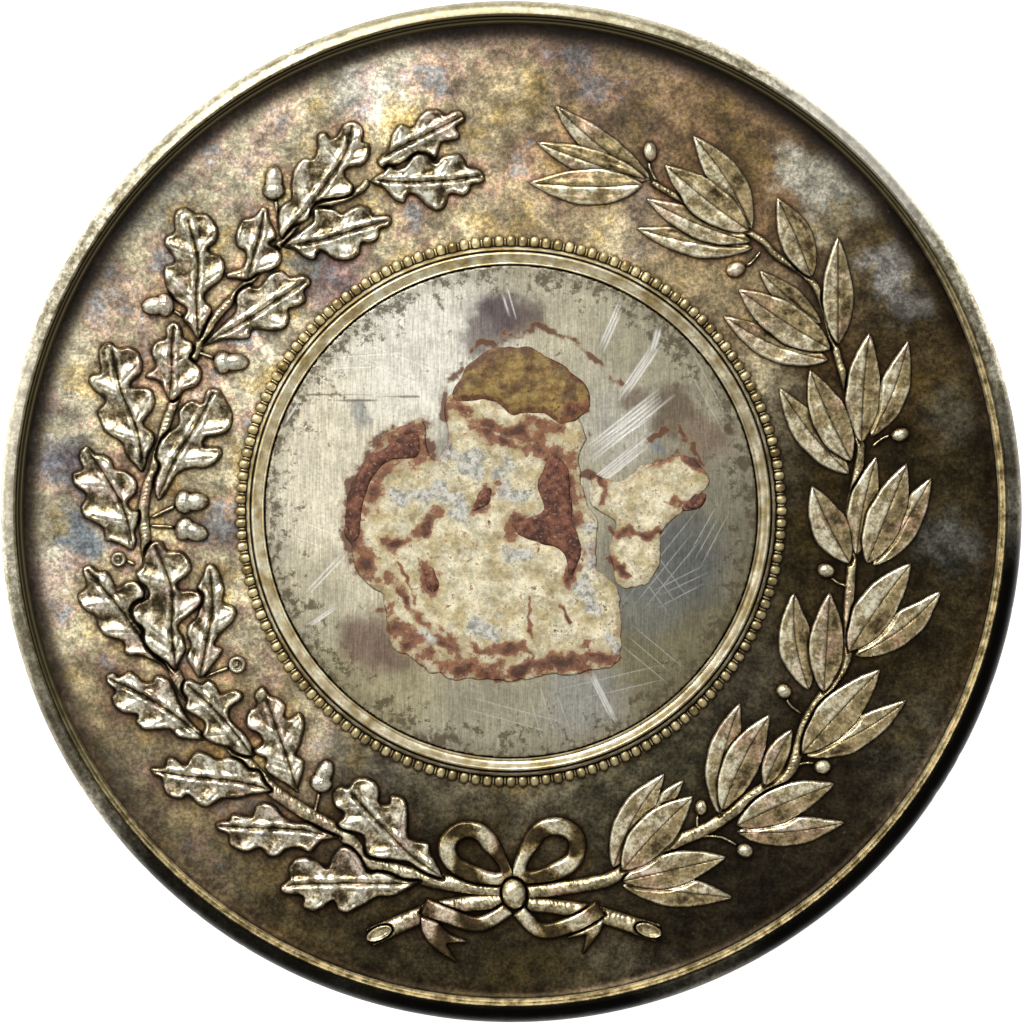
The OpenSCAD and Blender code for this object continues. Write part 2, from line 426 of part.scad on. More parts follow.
// Circles that hold a leaf, so that only leaves that can meet are cut by each other.
function oak_line(leaf) = [for (p = leaf[2]) placed(p)];
function circle_of(line) = let (c = centre_of(line)) [c, max([for (p = line) norm(p - c)])];
oak_circles = [for (leaf = oak) circle_of(oak_line(leaf))];
laurel_circles = [for (leaf = laurel) let (ends = leaf_axis(leaf))
    [(ends[0] + ends[1]) / 2, norm(ends[1] - ends[0]) / 2]];
function near(a, b) = norm(a[0] - b[0]) < a[1] + b[1];
function under_bow(p) = norm(placed(p) - placed(knot_place)) < bow_reach;

// Raises an outline from the field.
module relief(h) { translate([0, 0, field_z]) linear_extrude(h) children(); }

// A cutting column that goes right through the relief above an outline.
module column() { translate([0, 0, field_z - 0.5]) linear_extrude(through) children(); }

module oak_outline(leaf) {
    middle = centre_of(oak_line(leaf));
    polygon([for (p = smooth_loop(oak_line(leaf), 2)) middle + (p - middle) * leaf_width]);
}

module laurel_outline(leaf) { polygon(leaf_outline(leaf, laurel_halves)); }

// A midrib: a low band along the middle of a leaf, tapered towards the tip.
module midrib(route, h) {
    translate([0, 0, field_z + h]) linear_extrude(rib_h)
        polygon(band(smooth([for (p = route) placed(p)], 3), rib_w, rib_w * 0.3));
}

// Half of a round-ended rod, lying on the field along its own X.
module half_capsule(l, w) {
    rotate([90, 0, 90]) rotate_extrude(angle = 180) intersection() {
        union() {
            for (side = [-1, 1]) translate([0, side * (l - w) / 2]) circle(w / 2);
            translate([0, -(l - w) / 2]) square([w / 2, l - w]);
        }
        translate([0, -l]) square([w, 2 * l]);
    }
}

module bow_outline() {
    knot_outline();
    loop_outline(loop_left);
    loop_outline(loop_right);
}

module knot_outline() {
    translate(placed(knot_place)) rotate(-12) scale([knot_size[0] / knot_size[1], 1])
        circle(d = knot_size[1]);
}

// A closed middle line moved outwards from its own centre.
function widened(loop, d) = let (c = centre_of(loop))
    [for (p = loop) p + (p - c) / norm(p - c) * d];

module loop_outline(route) {
    line = smooth_loop([for (p = route) placed(p)]);
    difference() {
        polygon(widened(line, ribbon_w / 2));
        polygon(widened(line, -ribbon_w / 2));
    }
}

module tail_outline(runs) {
    paths = [for (run = runs) smooth([for (p = run) placed(p)])];
    end = last(paths[1]);
    back = paths[1][len(paths[1]) - 4];
    ahead = (end - back) / norm(end - back);
    notch = side_of(back, end) * ribbon_w / 2;
    difference() {
        union() {
            polygon(band(paths[0], ribbon_w * 0.8, ribbon_w));
            polygon(band(paths[1], ribbon_w, ribbon_w * 1.3));
        }
        // the forked end
        polygon([end - ahead * ribbon_w, end + ahead + notch, end + ahead - notch]);
    }
}

module stem_outline(route, w0, w1) {
    polygon(band(smooth([for (p = route) placed(p)], 3), w0, w1));
}

module oak_stem_outline() { stem_outline(oak_route, stem_w, stem_w * 0.4); }
module laurel_stem_outline() { stem_outline(laurel_route, stem_w, stem_w * 0.35); }

module flan() {
    color("#8f8266") translate([0, 0, back_z]) cylinder(r = medal_r, h = field_z - back_z);
}

// The flat band round the edge, rounded where it meets the side of the medal.
module listel(h) {
    rotate_extrude() difference() {
        translate([listel_r, 0]) square([listel_w, h]);
        translate([medal_r - listel_round, h - listel_round]) difference() {
            square(listel_round * 2);
            circle(listel_round);
        }
    }
}

// The lower step and its cove, which bring the band down to the field.
module rim_step(h, cove) {
    rotate_extrude() union() {
        translate([step_r, 0]) square([step_w, h - step_drop]);
        difference() {
            translate([field_r, 0]) square([cove_w, cove]);
            translate([field_r, cove]) scale([1, cove / cove_w]) circle(cove_w);
        }
    }
}

module front_listel() {
    color("#b9ae93") translate([0, 0, field_z]) listel(front_sink);
}

module front_rim_step() {
    color("#7d7158") translate([0, 0, field_z]) rim_step(front_sink, cove_h);
}

module back_listel() {
    color("#b9ae93") translate([0, 0, back_z]) mirror([0, 0, 1]) listel(back_sink);
}

module back_rim_step() {
    color("#7d7158") translate([0, 0, back_z]) mirror([0, 0, 1])
        rim_step(back_sink, cove_h * back_sink / front_sink);
}

module cartouche_plate() {
    color("#cfc7b1") translate([0, 0, field_z]) cylinder(r = plate_r, h = plate_h);
}

// A flat-footed ring with rounded ridges on top.
module cartouche_moulding() {
    ridge_w = moulding_w / moulding_ridges;
    foot_h = moulding_h - ridge_w / 2;
    color("#d6cdb2") translate([0, 0, field_z]) rotate_extrude() union() {
        translate([plate_r, 0]) square([moulding_w, foot_h]);
        for (k = [0 : moulding_ridges - 1]) translate([plate_r + (k + 0.5) * ridge_w, foot_h])
            circle(ridge_w / 2);
    }
}

module cartouche_beads() {
    color("#b3a98c") for (k = [0 : bead_count - 1])
        rotate(360 * k / bead_count) translate([bead_r, 0, field_z]) half_capsule(bead_l, bead_w);
}

module oak_stem() {
    color("#a3987b") difference() {
        relief(stem_h) oak_stem_outline();
        for (leaf = oak) column() oak_outline(leaf);
        column() bow_outline();
    }
}

module laurel_stem() {
    color("#a3987b") difference() {
        relief(stem_h) laurel_stem_outline();
        for (leaf = laurel) column() laurel_outline(leaf);
        column() bow_outline();
    }
}

module oak_cut_stem() {
    color("#c2b697") difference() {
        relief(stem_h) stem_outline(oak_cut_route, cut_stem_w * 0.8, cut_stem_w);
        column() oak_stem_outline();
        column() bow_outline();
        column() tail_outline(tail_left);
    }
}

module laurel_cut_stem() {
    color("#c2b697") difference() {
        relief(stem_h) stem_outline(laurel_cut_route, cut_stem_w * 0.8, cut_stem_w);
        column() laurel_stem_outline();
        column() bow_outline();
        column() tail_outline(tail_right);
    }
}

// The leaves of one oak spray, each cut back to the leaves and acorns that lie on it.
module oak_spray(spray) {
    for (i = [0 : len(oak) - 1]) if (oak[i][0] == spray) color("#e0d9c2") difference() {
        union() {
            relief(oak_h) oak_outline(oak[i]);
            midrib(oak[i][1], oak_h);
        }
        for (j = [i + 1 : 1 : len(oak) - 1]) if (near(oak_circles[i], oak_circles[j]))
            column() oak_outline(oak[j]);
        for (a = acorns) if (near(oak_circles[i], [placed(a[0]), cup_w * 1.5]))
            column() acorn_outline(a);
        if (under_bow(oak[i][2][0])) column() bow_outline();
    }
}

// The leaves of one laurel spray, cut back in the same way.
module laurel_spray(spray) {
    for (i = [0 : len(laurel) - 1]) if (laurel[i][3] == spray) color("#b8a985") difference() {
        union() {
            relief(laurel_h) laurel_outline(laurel[i]);
            midrib([laurel[i][0], laurel[i][0] * 0.12 + laurel[i][1] * 0.88], laurel_h);
        }
        for (j = [i + 1 : 1 : len(laurel) - 1]) if (near(laurel_circles[i], laurel_circles[j]))
            column() laurel_outline(laurel[j]);
        for (b = berries) if (near(laurel_circles[i], [placed(b[0]), berry_w]))
            column() translate(placed(b[0])) circle(berry_w * 0.6);
        if (under_bow(laurel[i][0])) column() bow_outline();
    }
}

// The room that an acorn takes on the field.
module acorn_outline(acorn) {
    run = placed(acorn[1]) - placed(acorn[0]);
    translate(placed(acorn[0])) {
        circle(cup_w * 0.55);
        rotate(atan2(run[1], run[0])) translate([0, -cup_w * 0.5])
            square([norm(run) + 0.1, cup_w]);
    }
}

module acorn_cup(acorn) {
    translate(placed(acorn[0])) intersection() {
        sphere(cup_w / 2);
        translate([-cup_w, -cup_w, 0]) cube(2 * cup_w);
    }
}

module acorn_cups() {
    color("#c9bf9f") translate([0, 0, field_z]) for (a = acorns) acorn_cup(a);
}

module acorn_nuts() {
    nut_w = cup_w * 0.82;
    color("#efe8d2") translate([0, 0, field_z]) for (a = acorns) difference() {
        run = placed(a[1]) - placed(a[0]);
        translate(placed(a[0]) + run * 0.45) rotate(atan2(run[1], run[0]))
            half_capsule(norm(run) * 1.1, nut_w);
        acorn_cup(a);
    }
}

module laurel_berries() {
    color("#d3c8a8") for (b = berries) translate([placed(b[0])[0], placed(b[0])[1], field_z])
        rotate(b[1]) half_capsule(berry_w * 1.15, berry_w);
}

module ribbon_knot() {
    color("#d9d0b6") relief(knot_h) knot_outline();
}

module ribbon_loop_left() {
    color("#cbc1a4") difference() {
        relief(ribbon_h) loop_outline(loop_left);
        column() knot_outline();
    }
}

module ribbon_loop_right() {
    color("#cbc1a4") difference() {
        relief(ribbon_h) loop_outline(loop_right);
        column() {
            knot_outline();
            loop_outline(loop_left);
        }
    }
}

module ribbon_tail_left() {
    color("#cbc1a4") difference() {
        relief(ribbon_h) tail_outline(tail_left);
        column() knot_outline();
    }
}

module ribbon_tail_right() {
    color("#cbc1a4") difference() {
        relief(ribbon_h) tail_outline(tail_right);
        column() {
            knot_outline();
            tail_outline(tail_left);
        }
    }
}

// A thin film on the plate, inside a smooth closed outline.
module film(outline, t) {
    translate([0, 0, field_z + plate_h]) linear_extrude(t)
        polygon(smooth_loop(outline * plate_r / drawn_plate_r));
}

module crust_column() {
    for (outline = crust_outlines) translate([0, 0, -0.5]) film(outline, 1);
}

module glue_lump() {
    color("#8b7c4d") difference() {
        film(lump_outline, glue_t * 2);
        crust_column();
    }
}

module glue_patch() {
    color("#cdbf96") difference() {
        union() {
            film(patch_outline, glue_t);
            film(right_patch_outline, glue_t);
        }
        translate([0, 0, -0.5]) film(lump_outline, 1);
        crust_column();
    }
}

module red_crust() {
    color("#5a3228") for (outline = crust_outlines) film(outline, crust_t);
}

flan();
front_listel();
front_rim_step();
back_listel();
back_rim_step();
cartouche_plate();
cartouche_moulding();
cartouche_beads();
oak_stem();
oak_cut_stem();
oak_spray(1);  // oak_spray_1
oak_spray(2);  // oak_spray_2
oak_spray(3);  // oak_spray_3
oak_spray(4);  // oak_spray_4
oak_spray(5);  // oak_spray_5
oak_spray(6);  // oak_spray_6
oak_spray(7);  // oak_spray_7
oak_spray(8);  // oak_spray_8
acorn_cups();
acorn_nuts();
laurel_stem();
laurel_cut_stem();
laurel_spray(1);  // laurel_spray_1
laurel_spray(2);  // laurel_spray_2
laurel_spray(3);  // laurel_spray_3
laurel_spray(4);  // laurel_spray_4
laurel_spray(5);  // laurel_spray_5
laurel_spray(6);  // laurel_spray_6
laurel_spray(7);  // laurel_spray_7
laurel_spray(8);  // laurel_spray_8
laurel_spray(9);  // laurel_spray_9
laurel_berries();
ribbon_knot();
ribbon_loop_left();
ribbon_loop_right();
ribbon_tail_left();
ribbon_tail_right();
glue_patch();
glue_lump();
red_crust();
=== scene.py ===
"""A struck silver prize medal, modelled and toned on the fixed frame of its CAD model.

The relief is drawn in millimetres on a 50 mm medal and is sized to the frame. The struck surfaces
are computed as height over an outline, because no row of extrudes gives a chased leaf.
"""
import math
import bpy
import numpy as np
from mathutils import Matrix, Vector, noise
from mathutils.geometry import delaunay_2d_cdt


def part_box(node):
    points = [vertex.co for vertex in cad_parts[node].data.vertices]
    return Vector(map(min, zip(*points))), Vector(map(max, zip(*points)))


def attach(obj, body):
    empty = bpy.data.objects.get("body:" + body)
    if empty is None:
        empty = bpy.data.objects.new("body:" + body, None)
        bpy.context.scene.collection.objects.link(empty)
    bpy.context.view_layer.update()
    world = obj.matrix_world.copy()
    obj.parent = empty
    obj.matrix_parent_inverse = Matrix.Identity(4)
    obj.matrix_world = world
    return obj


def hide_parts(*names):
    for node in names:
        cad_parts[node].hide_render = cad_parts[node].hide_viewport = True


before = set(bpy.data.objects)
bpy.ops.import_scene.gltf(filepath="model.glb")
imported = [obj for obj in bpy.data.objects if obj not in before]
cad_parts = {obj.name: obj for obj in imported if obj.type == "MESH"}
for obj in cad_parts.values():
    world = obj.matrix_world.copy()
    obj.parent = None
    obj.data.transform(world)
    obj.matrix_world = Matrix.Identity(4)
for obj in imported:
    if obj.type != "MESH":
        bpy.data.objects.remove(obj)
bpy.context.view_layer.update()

bl_info = {
    "name": "Struck prize medal",
    "version": (1, 0, 0),
    "blender": (4, 5, 0),
    "location": "View3D > Sidebar > Medal",
    "description": "Builds the relief, the toning and the studio of a struck silver prize medal",
    "category": "Add Mesh",
}

# Places that the frame gives, in metres.
MEDAL_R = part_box("flan")[1].x
FIELD_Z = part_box("flan")[1].z
BACK_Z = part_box("flan")[0].z
RIM_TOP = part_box("front_listel")[1].z
LISTEL_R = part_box("front_rim_step")[1].x
PLATE_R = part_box("cartouche_plate")[1].x
PLATE_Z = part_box("cartouche_plate")[1].z
MOULDING_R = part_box("cartouche_moulding")[1].x
MOULDING_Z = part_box("cartouche_moulding")[1].z
BEAD_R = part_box("cartouche_beads")[1].x
MM = MEDAL_R / 25.0  # one millimetre of the drawing

# The oak branch: spray, midrib, outline. A leaf further down the list lies on top.
OAK_LEAVES = [
    (2, [(-11.3, 13.3), (-9.8, 15), (-8.2, 17.3), (-7.8, 18.8)], [
        (-11.3, 13.3), (-11.4, 14.6), (-11.1, 15.1), (-10.8, 15.3), (-10.8, 16.1), (-10.6, 16.8),
        (-10.2, 17.3), (-9.7, 17.3), (-9.5, 17.8), (-9.5, 18.4), (-9.1, 18.6), (-8.8, 18.3),
        (-8.5, 18.5), (-8.3, 18.9), (-7.8, 19.1), (-7.3, 18.9), (-7.2, 18.4), (-7.3, 18.1),
        (-6.9, 18), (-6.9, 17.4), (-7.3, 16.9), (-8, 16.8), (-8.1, 16.4), (-7.7, 16), (-7.8, 15.5),
        (-8.5, 15.3), (-9.5, 15.1), (-9.9, 14.3), (-10.7, 13.9)]),
    (2, [(-11.2, 13), (-9.5, 13.2), (-7.5, 13.8), (-6, 14.2)], [
        (-11.2, 13), (-10.2, 13.8), (-9.7, 14.2), (-9.7, 14.8), (-9.2, 14.9), (-8.6, 14.8),
        (-8.3, 14.6), (-7.9, 14.8), (-7.4, 15), (-6.9, 14.9), (-6.7, 14.5), (-6, 14.5),
        (-5.8, 14.2), (-6, 13.9), (-6.4, 13.8), (-6.5, 13.3), (-7, 13.1), (-7.3, 13.1),
        (-7.4, 12.6), (-7.8, 12.3), (-8.6, 12.3), (-9.3, 12.7), (-9.6, 12.3), (-10.1, 12.4),
        (-10.6, 12.8)]),
    (2, [(-12.9, 11.3), (-12.6, 12.5), (-12.3, 13.5), (-12.1, 14.6)], [
        (-12.9, 11.3), (-13.9, 11.4), (-13.9, 11.7), (-13.1, 12), (-13, 12.7), (-13.4, 12.9),
        (-13.5, 13.5), (-13.2, 14.3), (-12.7, 14.4), (-12.4, 14.6), (-12.2, 14.9), (-11.9, 14.8),
        (-11.8, 14.3), (-11.5, 13.7), (-11.5, 13.3), (-11.8, 13.1), (-11.3, 12.8), (-11.2, 12.3),
        (-11.6, 11.8), (-12.4, 11.6)]),
    (1, [(-6.6, 17.1), (-5.4, 17.8), (-4, 18.5), (-2.4, 19.3)], [
        (-6.6, 17.1), (-6.3, 17.5), (-6, 17.8), (-5.9, 18.3), (-5.7, 18.7), (-5.4, 19),
        (-5.1, 18.9), (-4.8, 18.8), (-4.6, 19.2), (-4.2, 19.6), (-3.8, 19.7), (-3.5, 19.7),
        (-3.2, 19.4), (-2.8, 19.6), (-2.4, 19.6), (-2.2, 19.2), (-2.4, 19), (-2.7, 18.8),
        (-2.5, 18.5), (-2.6, 18.2), (-3, 18.1), (-3.4, 18), (-3.5, 17.6), (-3.8, 17.1),
        (-4.4, 17.4), (-5.2, 17.1), (-6.1, 16.7)]),
    (1, [(-6.9, 16.2), (-5, 16.1), (-3, 16.2), (-1.5, 16.4)], [
        (-6.9, 16.2), (-6.3, 16.6), (-6, 16.9), (-5.6, 16.8), (-5.2, 16.9), (-4.9, 17.3),
        (-4.6, 17.5), (-4.2, 17.5), (-3.9, 17.3), (-3.7, 17.1), (-3.4, 17.4), (-2.9, 17.5),
        (-2.5, 17.5), (-2.2, 17.2), (-2.1, 16.9), (-1.6, 16.8), (-1.3, 16.5), (-1.3, 16.2),
        (-1.6, 16), (-1.9, 16), (-2, 15.7), (-2.3, 15.4), (-2.7, 15.5), (-3, 15.5), (-3.1, 15.1),
        (-3.3, 14.8), (-3.7, 14.7), (-4.2, 15), (-4.6, 15.4), (-5, 15.5), (-5.2, 15.1),
        (-5.4, 15.1), (-5.8, 15.3), (-6.2, 15.8), (-6.7, 16)]),
    (3, [(-15.3, 8.6), (-15.4, 10.6), (-15.3, 12.3), (-15.8, 14.2)], [
        (-15.3, 8.4), (-15.7, 9), (-16.1, 9.4), (-15.9, 9.9), (-16.5, 10.3), (-16.9, 11),
        (-17, 12), (-16.5, 12.2), (-16.7, 12.7), (-17, 13.1), (-16.9, 13.5), (-16.5, 13.7),
        (-16.5, 14.5), (-16.1, 14.9), (-15.7, 14.8), (-15.4, 14.6), (-14.9, 14.6), (-14.5, 14.2),
        (-14.3, 13.7), (-14.4, 13.2), (-14.8, 12.9), (-14.7, 12.7), (-14.2, 12.5), (-14, 12.2),
        (-14, 11.7), (-14.2, 11.3), (-14.8, 10.8), (-15, 10.4), (-14.6, 9.9), (-14.9, 9.2)]),
    (3, [(-15, 8.2), (-13, 9.3), (-11.5, 10.3), (-10.1, 11.2)], [
        (-15.1, 8.1), (-14.4, 8.9), (-13.9, 9.4), (-13.5, 9.8), (-13.5, 10.4), (-13.3, 10.8),
        (-12.8, 11.1), (-12.4, 11), (-12.1, 11.3), (-11.7, 11.7), (-11.2, 11.8), (-10.8, 11.5),
        (-10.2, 11.6), (-9.8, 11.4), (-9.8, 11.1), (-10.1, 10.8), (-10, 10.3), (-10.5, 10),
        (-10.9, 9.9), (-10.8, 9.5), (-11, 9), (-11.7, 8.8), (-12.6, 8.9), (-12.8, 8.5),
        (-13.3, 8.4), (-14, 8.4)]),
    (4, [(-16.7, 5.6), (-16.6, 6.6), (-16.6, 7.8), (-16.5, 9)], [
        (-16.7, 5.4), (-17.2, 6.3), (-17.8, 6.5), (-17.9, 6.7), (-17.4, 7.1), (-17.6, 7.6),
        (-17.6, 8.1), (-17.3, 8.4), (-16.9, 8.5), (-16.9, 9), (-16.5, 9.3), (-16.1, 9), (-16, 8.5),
        (-15.6, 8.3), (-15.5, 7.9), (-15.7, 7.5), (-15.2, 7.1), (-15.1, 6.6), (-15.4, 6.1),
        (-16, 5.9), (-16.2, 5.6)]),
    (4, [(-18, 2.2), (-18.3, 4), (-19.1, 6), (-19.5, 7.9)], [
        (-18, 1.9), (-18.5, 2.3), (-18.9, 2.8), (-19, 3.3), (-19.4, 3.6), (-19.9, 3.9),
        (-20.1, 4.3), (-20.3, 4.9), (-20, 5.2), (-19.9, 5.5), (-20.4, 5.9), (-20.7, 6.4),
        (-20.5, 6.7), (-20.1, 6.8), (-20.2, 7.4), (-20.2, 7.9), (-20, 8.2), (-19.6, 8.3),
        (-19.2, 8), (-18.7, 8.1), (-18.2, 7.8), (-18, 7.2), (-18.1, 6.7), (-18.5, 6.4),
        (-18.6, 6.1), (-18.1, 6.1), (-17.6, 6), (-17.4, 5.5), (-17.5, 5), (-18, 4.3), (-17.5, 3.9),
        (-17.4, 3.4), (-17.7, 2.8)]),
    (4, [(-17.2, 0.8), (-16.4, 2.6), (-15.4, 4.2), (-14.6, 5.8)], [
        (-17.3, 0.5), (-16.8, 1), (-16.5, 1.6), (-16.2, 1.9), (-15.5, 2.1), (-14.9, 2.1),
        (-14.3, 2.5), (-14.1, 2.9), (-14.3, 3.2), (-15, 3.2), (-14.9, 3.6), (-14.2, 3.7),
        (-13.7, 4.1), (-13.6, 4.8), (-13.9, 5.4), (-14.1, 5.8), (-14.3, 6), (-14.8, 6), (-15, 5.7),
        (-15.1, 5.3), (-15.6, 5.5), (-16, 5.3), (-16.3, 4.9), (-16.3, 4.3), (-16.8, 3.9),
        (-17.2, 3.4), (-17.4, 2.7), (-17.2, 2.2), (-17.5, 1.4)]),
    (5, [(-18.5, -1.7), (-18.9, 0), (-19.7, 1.5), (-20.7, 3)], [
        (-18.5, -1.9), (-19, -1.7), (-19.5, -1.5), (-19.9, -1.4), (-20, -0.8), (-20.5, -0.5),
        (-20.9, -0.3), (-21.1, 0.2), (-20.8, 0.8), (-21.4, 1.3), (-21.5, 1.9), (-21, 2.1),
        (-21.2, 2.6), (-21.1, 3), (-20.7, 3.2), (-20.3, 2.8), (-19.9, 2.8), (-19.5, 2.5),
        (-19.4, 2.1), (-18.8, 2), (-18.3, 1.5), (-18.3, 0.9), (-18.7, 0.5), (-18.6, 0.1),
        (-18.2, 0), (-18.2, -0.5), (-18.4, -1), (-18.3, -1.4)]),
    (5, [(-15.2, -8), (-14.9, -6.5), (-14.6, -4.8), (-14.7, -3)], [
        (-15.2, -8.2), (-15.6, -7.7), (-15.9, -7.1), (-15.7, -6.5), (-15.9, -6.1), (-15.8, -5.5),
        (-15.4, -5.1), (-15.3, -4.4), (-15.4, -3.7), (-15.1, -3.1), (-14.9, -2.6), (-14.5, -2.6),
        (-14.2, -3.1), (-14, -3.8), (-14.1, -4.4), (-13.6, -4.6), (-13.4, -4.9), (-13.6, -5.4),
        (-14.1, -5.9), (-14.5, -6.5), (-14.1, -6.7), (-14.2, -7), (-14.6, -7.6)]),
    (5, [(-16.8, -7.8), (-18.2, -6), (-19.4, -4.4), (-20.7, -2.9)], [
        (-16.6, -8), (-17.2, -7.5), (-18, -7.1), (-18.9, -7), (-19, -6.4), (-19.6, -6.2),
        (-20.1, -5.9), (-20.3, -5.4), (-20.4, -5.1), (-20.9, -4.8), (-21.2, -4.4), (-21.2, -4),
        (-20.8, -3.7), (-20.9, -3.2), (-21, -2.8), (-20.6, -2.6), (-20.2, -2.9), (-19.8, -2.9),
        (-19.5, -3.3), (-19.3, -3.7), (-18.8, -3.4), (-18.3, -3.4), (-17.9, -3.9), (-18, -5),
        (-17.6, -6.4)]),
    (5, [(-16.4, -7.6), (-16.6, -5.8), (-16.6, -3.8), (-17.4, -1.7)], [
        (-16.4, -7.8), (-16.9, -7.4), (-17.6, -6.9), (-18, -6.3), (-18, -5.8), (-18.4, -5.4),
        (-18.6, -4.9), (-18.4, -4.5), (-17.8, -4.2), (-17.8, -3.9), (-18.2, -3.4), (-18.4, -3),
        (-18.1, -2.7), (-18, -2.2), (-17.8, -1.7), (-17.4, -1.4), (-17, -1.5), (-16.8, -1.9),
        (-16.2, -1.9), (-15.8, -2.2), (-15.6, -2.8), (-15.9, -3.2), (-16.3, -3.5), (-16.2, -3.8),
        (-15.5, -3.8), (-15.1, -4.1), (-15.2, -4.6), (-15.7, -5.1), (-16.3, -5.6), (-16, -6.1),
        (-15.9, -6.8), (-16.2, -7.4)]),
    (6, [(-15, -11.1), (-16.4, -10), (-18, -9), (-19.6, -8.2)], [
        (-14.9, -11.2), (-15.6, -11.2), (-16.3, -11.1), (-16.7, -10.7), (-17.4, -10.7),
        (-18, -10.7), (-18.4, -10.3), (-18.3, -10), (-18.9, -9.9), (-19.4, -9.6), (-19.6, -9.1),
        (-19.4, -8.8), (-19.8, -8.4), (-19.8, -8), (-19.4, -7.9), (-19.2, -8.1), (-18.7, -7.8),
        (-18.3, -8), (-18, -8.3), (-17.6, -8.3), (-17.4, -8), (-16.9, -8.1), (-16.5, -8.6),
        (-16.2, -9.3), (-15.7, -10.2), (-15.1, -10.8)]),
    (6, [(-12.7, -11.9), (-13.6, -10.7), (-14.7, -9.5), (-15.8, -8.5)], [
        (-12.5, -12), (-13.4, -11.9), (-13.8, -11.6), (-14.5, -11.4), (-15.12, -11), (-15, -10.4),
        (-15.5, -10), (-16, -9.7), (-15.9, -9.2), (-16.1, -8.8), (-16, -8.3), (-15.6, -8.2),
        (-15.2, -8.4), (-14.8, -8.2), (-14.4, -8.5), (-14.2, -8.9), (-13.7, -8.7), (-13.2, -8.8),
        (-13.1, -9.2), (-13.7, -9.6), (-13.7, -10.2), (-13.1, -10.8), (-12.7, -11.4)]),
    (7, [(-10.5, -13.6), (-10.9, -12.2), (-11.4, -10.8), (-12, -9)], [
        (-10.4, -13.8), (-11, -13.4), (-11.7, -13), (-12.1, -12.5), (-12, -12.1), (-12.5, -11.9),
        (-12.6, -11.6), (-12.2, -11.3), (-12.4, -10.9), (-12.9, -10.6), (-13, -10.1),
        (-12.8, -9.7), (-12.5, -9.5), (-12.6, -9), (-12.3, -8.6), (-12, -8.6), (-11.8, -9),
        (-11.4, -9.1), (-11, -9.5), (-11.1, -10), (-10.8, -10.1), (-10.4, -9.8), (-10.1, -10.1),
        (-10.1, -10.7), (-10.3, -11.5), (-10.5, -11.9), (-10.1, -12.2), (-10.2, -12.9),
        (-10.4, -13.5)]),
    (7, [(-11.9, -13.6), (-13.5, -13.2), (-15.5, -13), (-17.5, -12.7)], [
        (-11.7, -13.7), (-12.7, -13.9), (-13.4, -14.1), (-14.1, -14.1), (-14.5, -14.3),
        (-14.9, -14.5), (-15.3, -14.4), (-15.8, -13.9), (-16.1, -14.1), (-16.7, -14), (-17, -13.7),
        (-17.1, -13.1), (-17.5, -12.9), (-17.7, -12.6), (-17.5, -12.5), (-17, -12.5),
        (-16.9, -12.1), (-16.5, -12), (-16, -12.4), (-15.7, -12), (-15.3, -11.7), (-14.7, -11.9),
        (-14.3, -12.1), (-13.8, -12), (-13.2, -12.2), (-12.8, -12.6), (-12.3, -12.7), (-12, -13.3)]),
    (8, [(-8.5, -16), (-10.2, -15.6), (-12.2, -15.5), (-14.3, -15.4)], [
        (-8.3, -16), (-9.2, -16.1), (-9.6, -16.5), (-9.9, -16.7), (-10.5, -16.5), (-11, -16.6),
        (-11.4, -16.9), (-11.9, -16.9), (-12.3, -16.5), (-12.9, -16.7), (-13.4, -16.6),
        (-13.8, -16.3), (-13.9, -15.8), (-14.4, -15.6), (-14.5, -15.3), (-14.2, -15.1),
        (-13.8, -15.1), (-13.7, -14.8), (-13.3, -14.8), (-12.7, -14.9), (-12.5, -14.4),
        (-12.1, -14.2), (-11.5, -14.4), (-11.1, -14.9), (-10.6, -15.2), (-10, -15.2), (-9.2, -15.6)]),
    (8, [(-4.6, -18.2), (-6.5, -18.2), (-9, -18.2), (-11.1, -18.3)], [
        (-4.4, -18.1), (-5.2, -18.6), (-5.9, -18.9), (-6.5, -18.9), (-7, -19.2), (-7.6, -19.5),
        (-8.1, -19.7), (-8.5, -19.5), (-8.7, -19.1), (-9.2, -19.4), (-9.7, -19.6), (-10.2, -19.4),
        (-10.2, -18.9), (-10.7, -18.8), (-11.2, -18.7), (-11.3, -18.3), (-10.9, -18),
        (-10.9, -17.4), (-10.6, -17), (-10, -16.9), (-9.4, -17.1), (-9, -17.4), (-8.8, -16.9),
        (-8.4, -16.4), (-7.9, -16.4), (-7.4, -16.9), (-7, -17.6), (-6.5, -17.6), (-5.9, -17.7),
        (-5.3, -18)]),
    (8, [(-3.5, -17.8), (-4.9, -16.8), (-6.4, -15.3), (-7.8, -13.8)], [
        (-3.3, -18), (-4.4, -17.6), (-5, -17.2), (-5.8, -17.1), (-6.6, -17), (-7.1, -16.8),
        (-7.2, -16.2), (-7.3, -15.9), (-7.8, -15.7), (-8.4, -15.5), (-8.5, -15.2), (-8.2, -14.8),
        (-8.6, -14.5), (-8.8, -14), (-8.7, -13.6), (-8.3, -13.4), (-8, -13.5), (-7.8, -13.2),
        (-7.4, -13), (-6.8, -13.1), (-6.4, -13.6), (-6.4, -14.2), (-6, -14.3), (-5.9, -13.9),
        (-5.4, -13.9), (-5.1, -14.2), (-5, -14.9), (-5, -15.9), (-4.5, -16.1), (-4, -16.2),
        (-3.9, -16.7), (-3.6, -17.3)]),
]
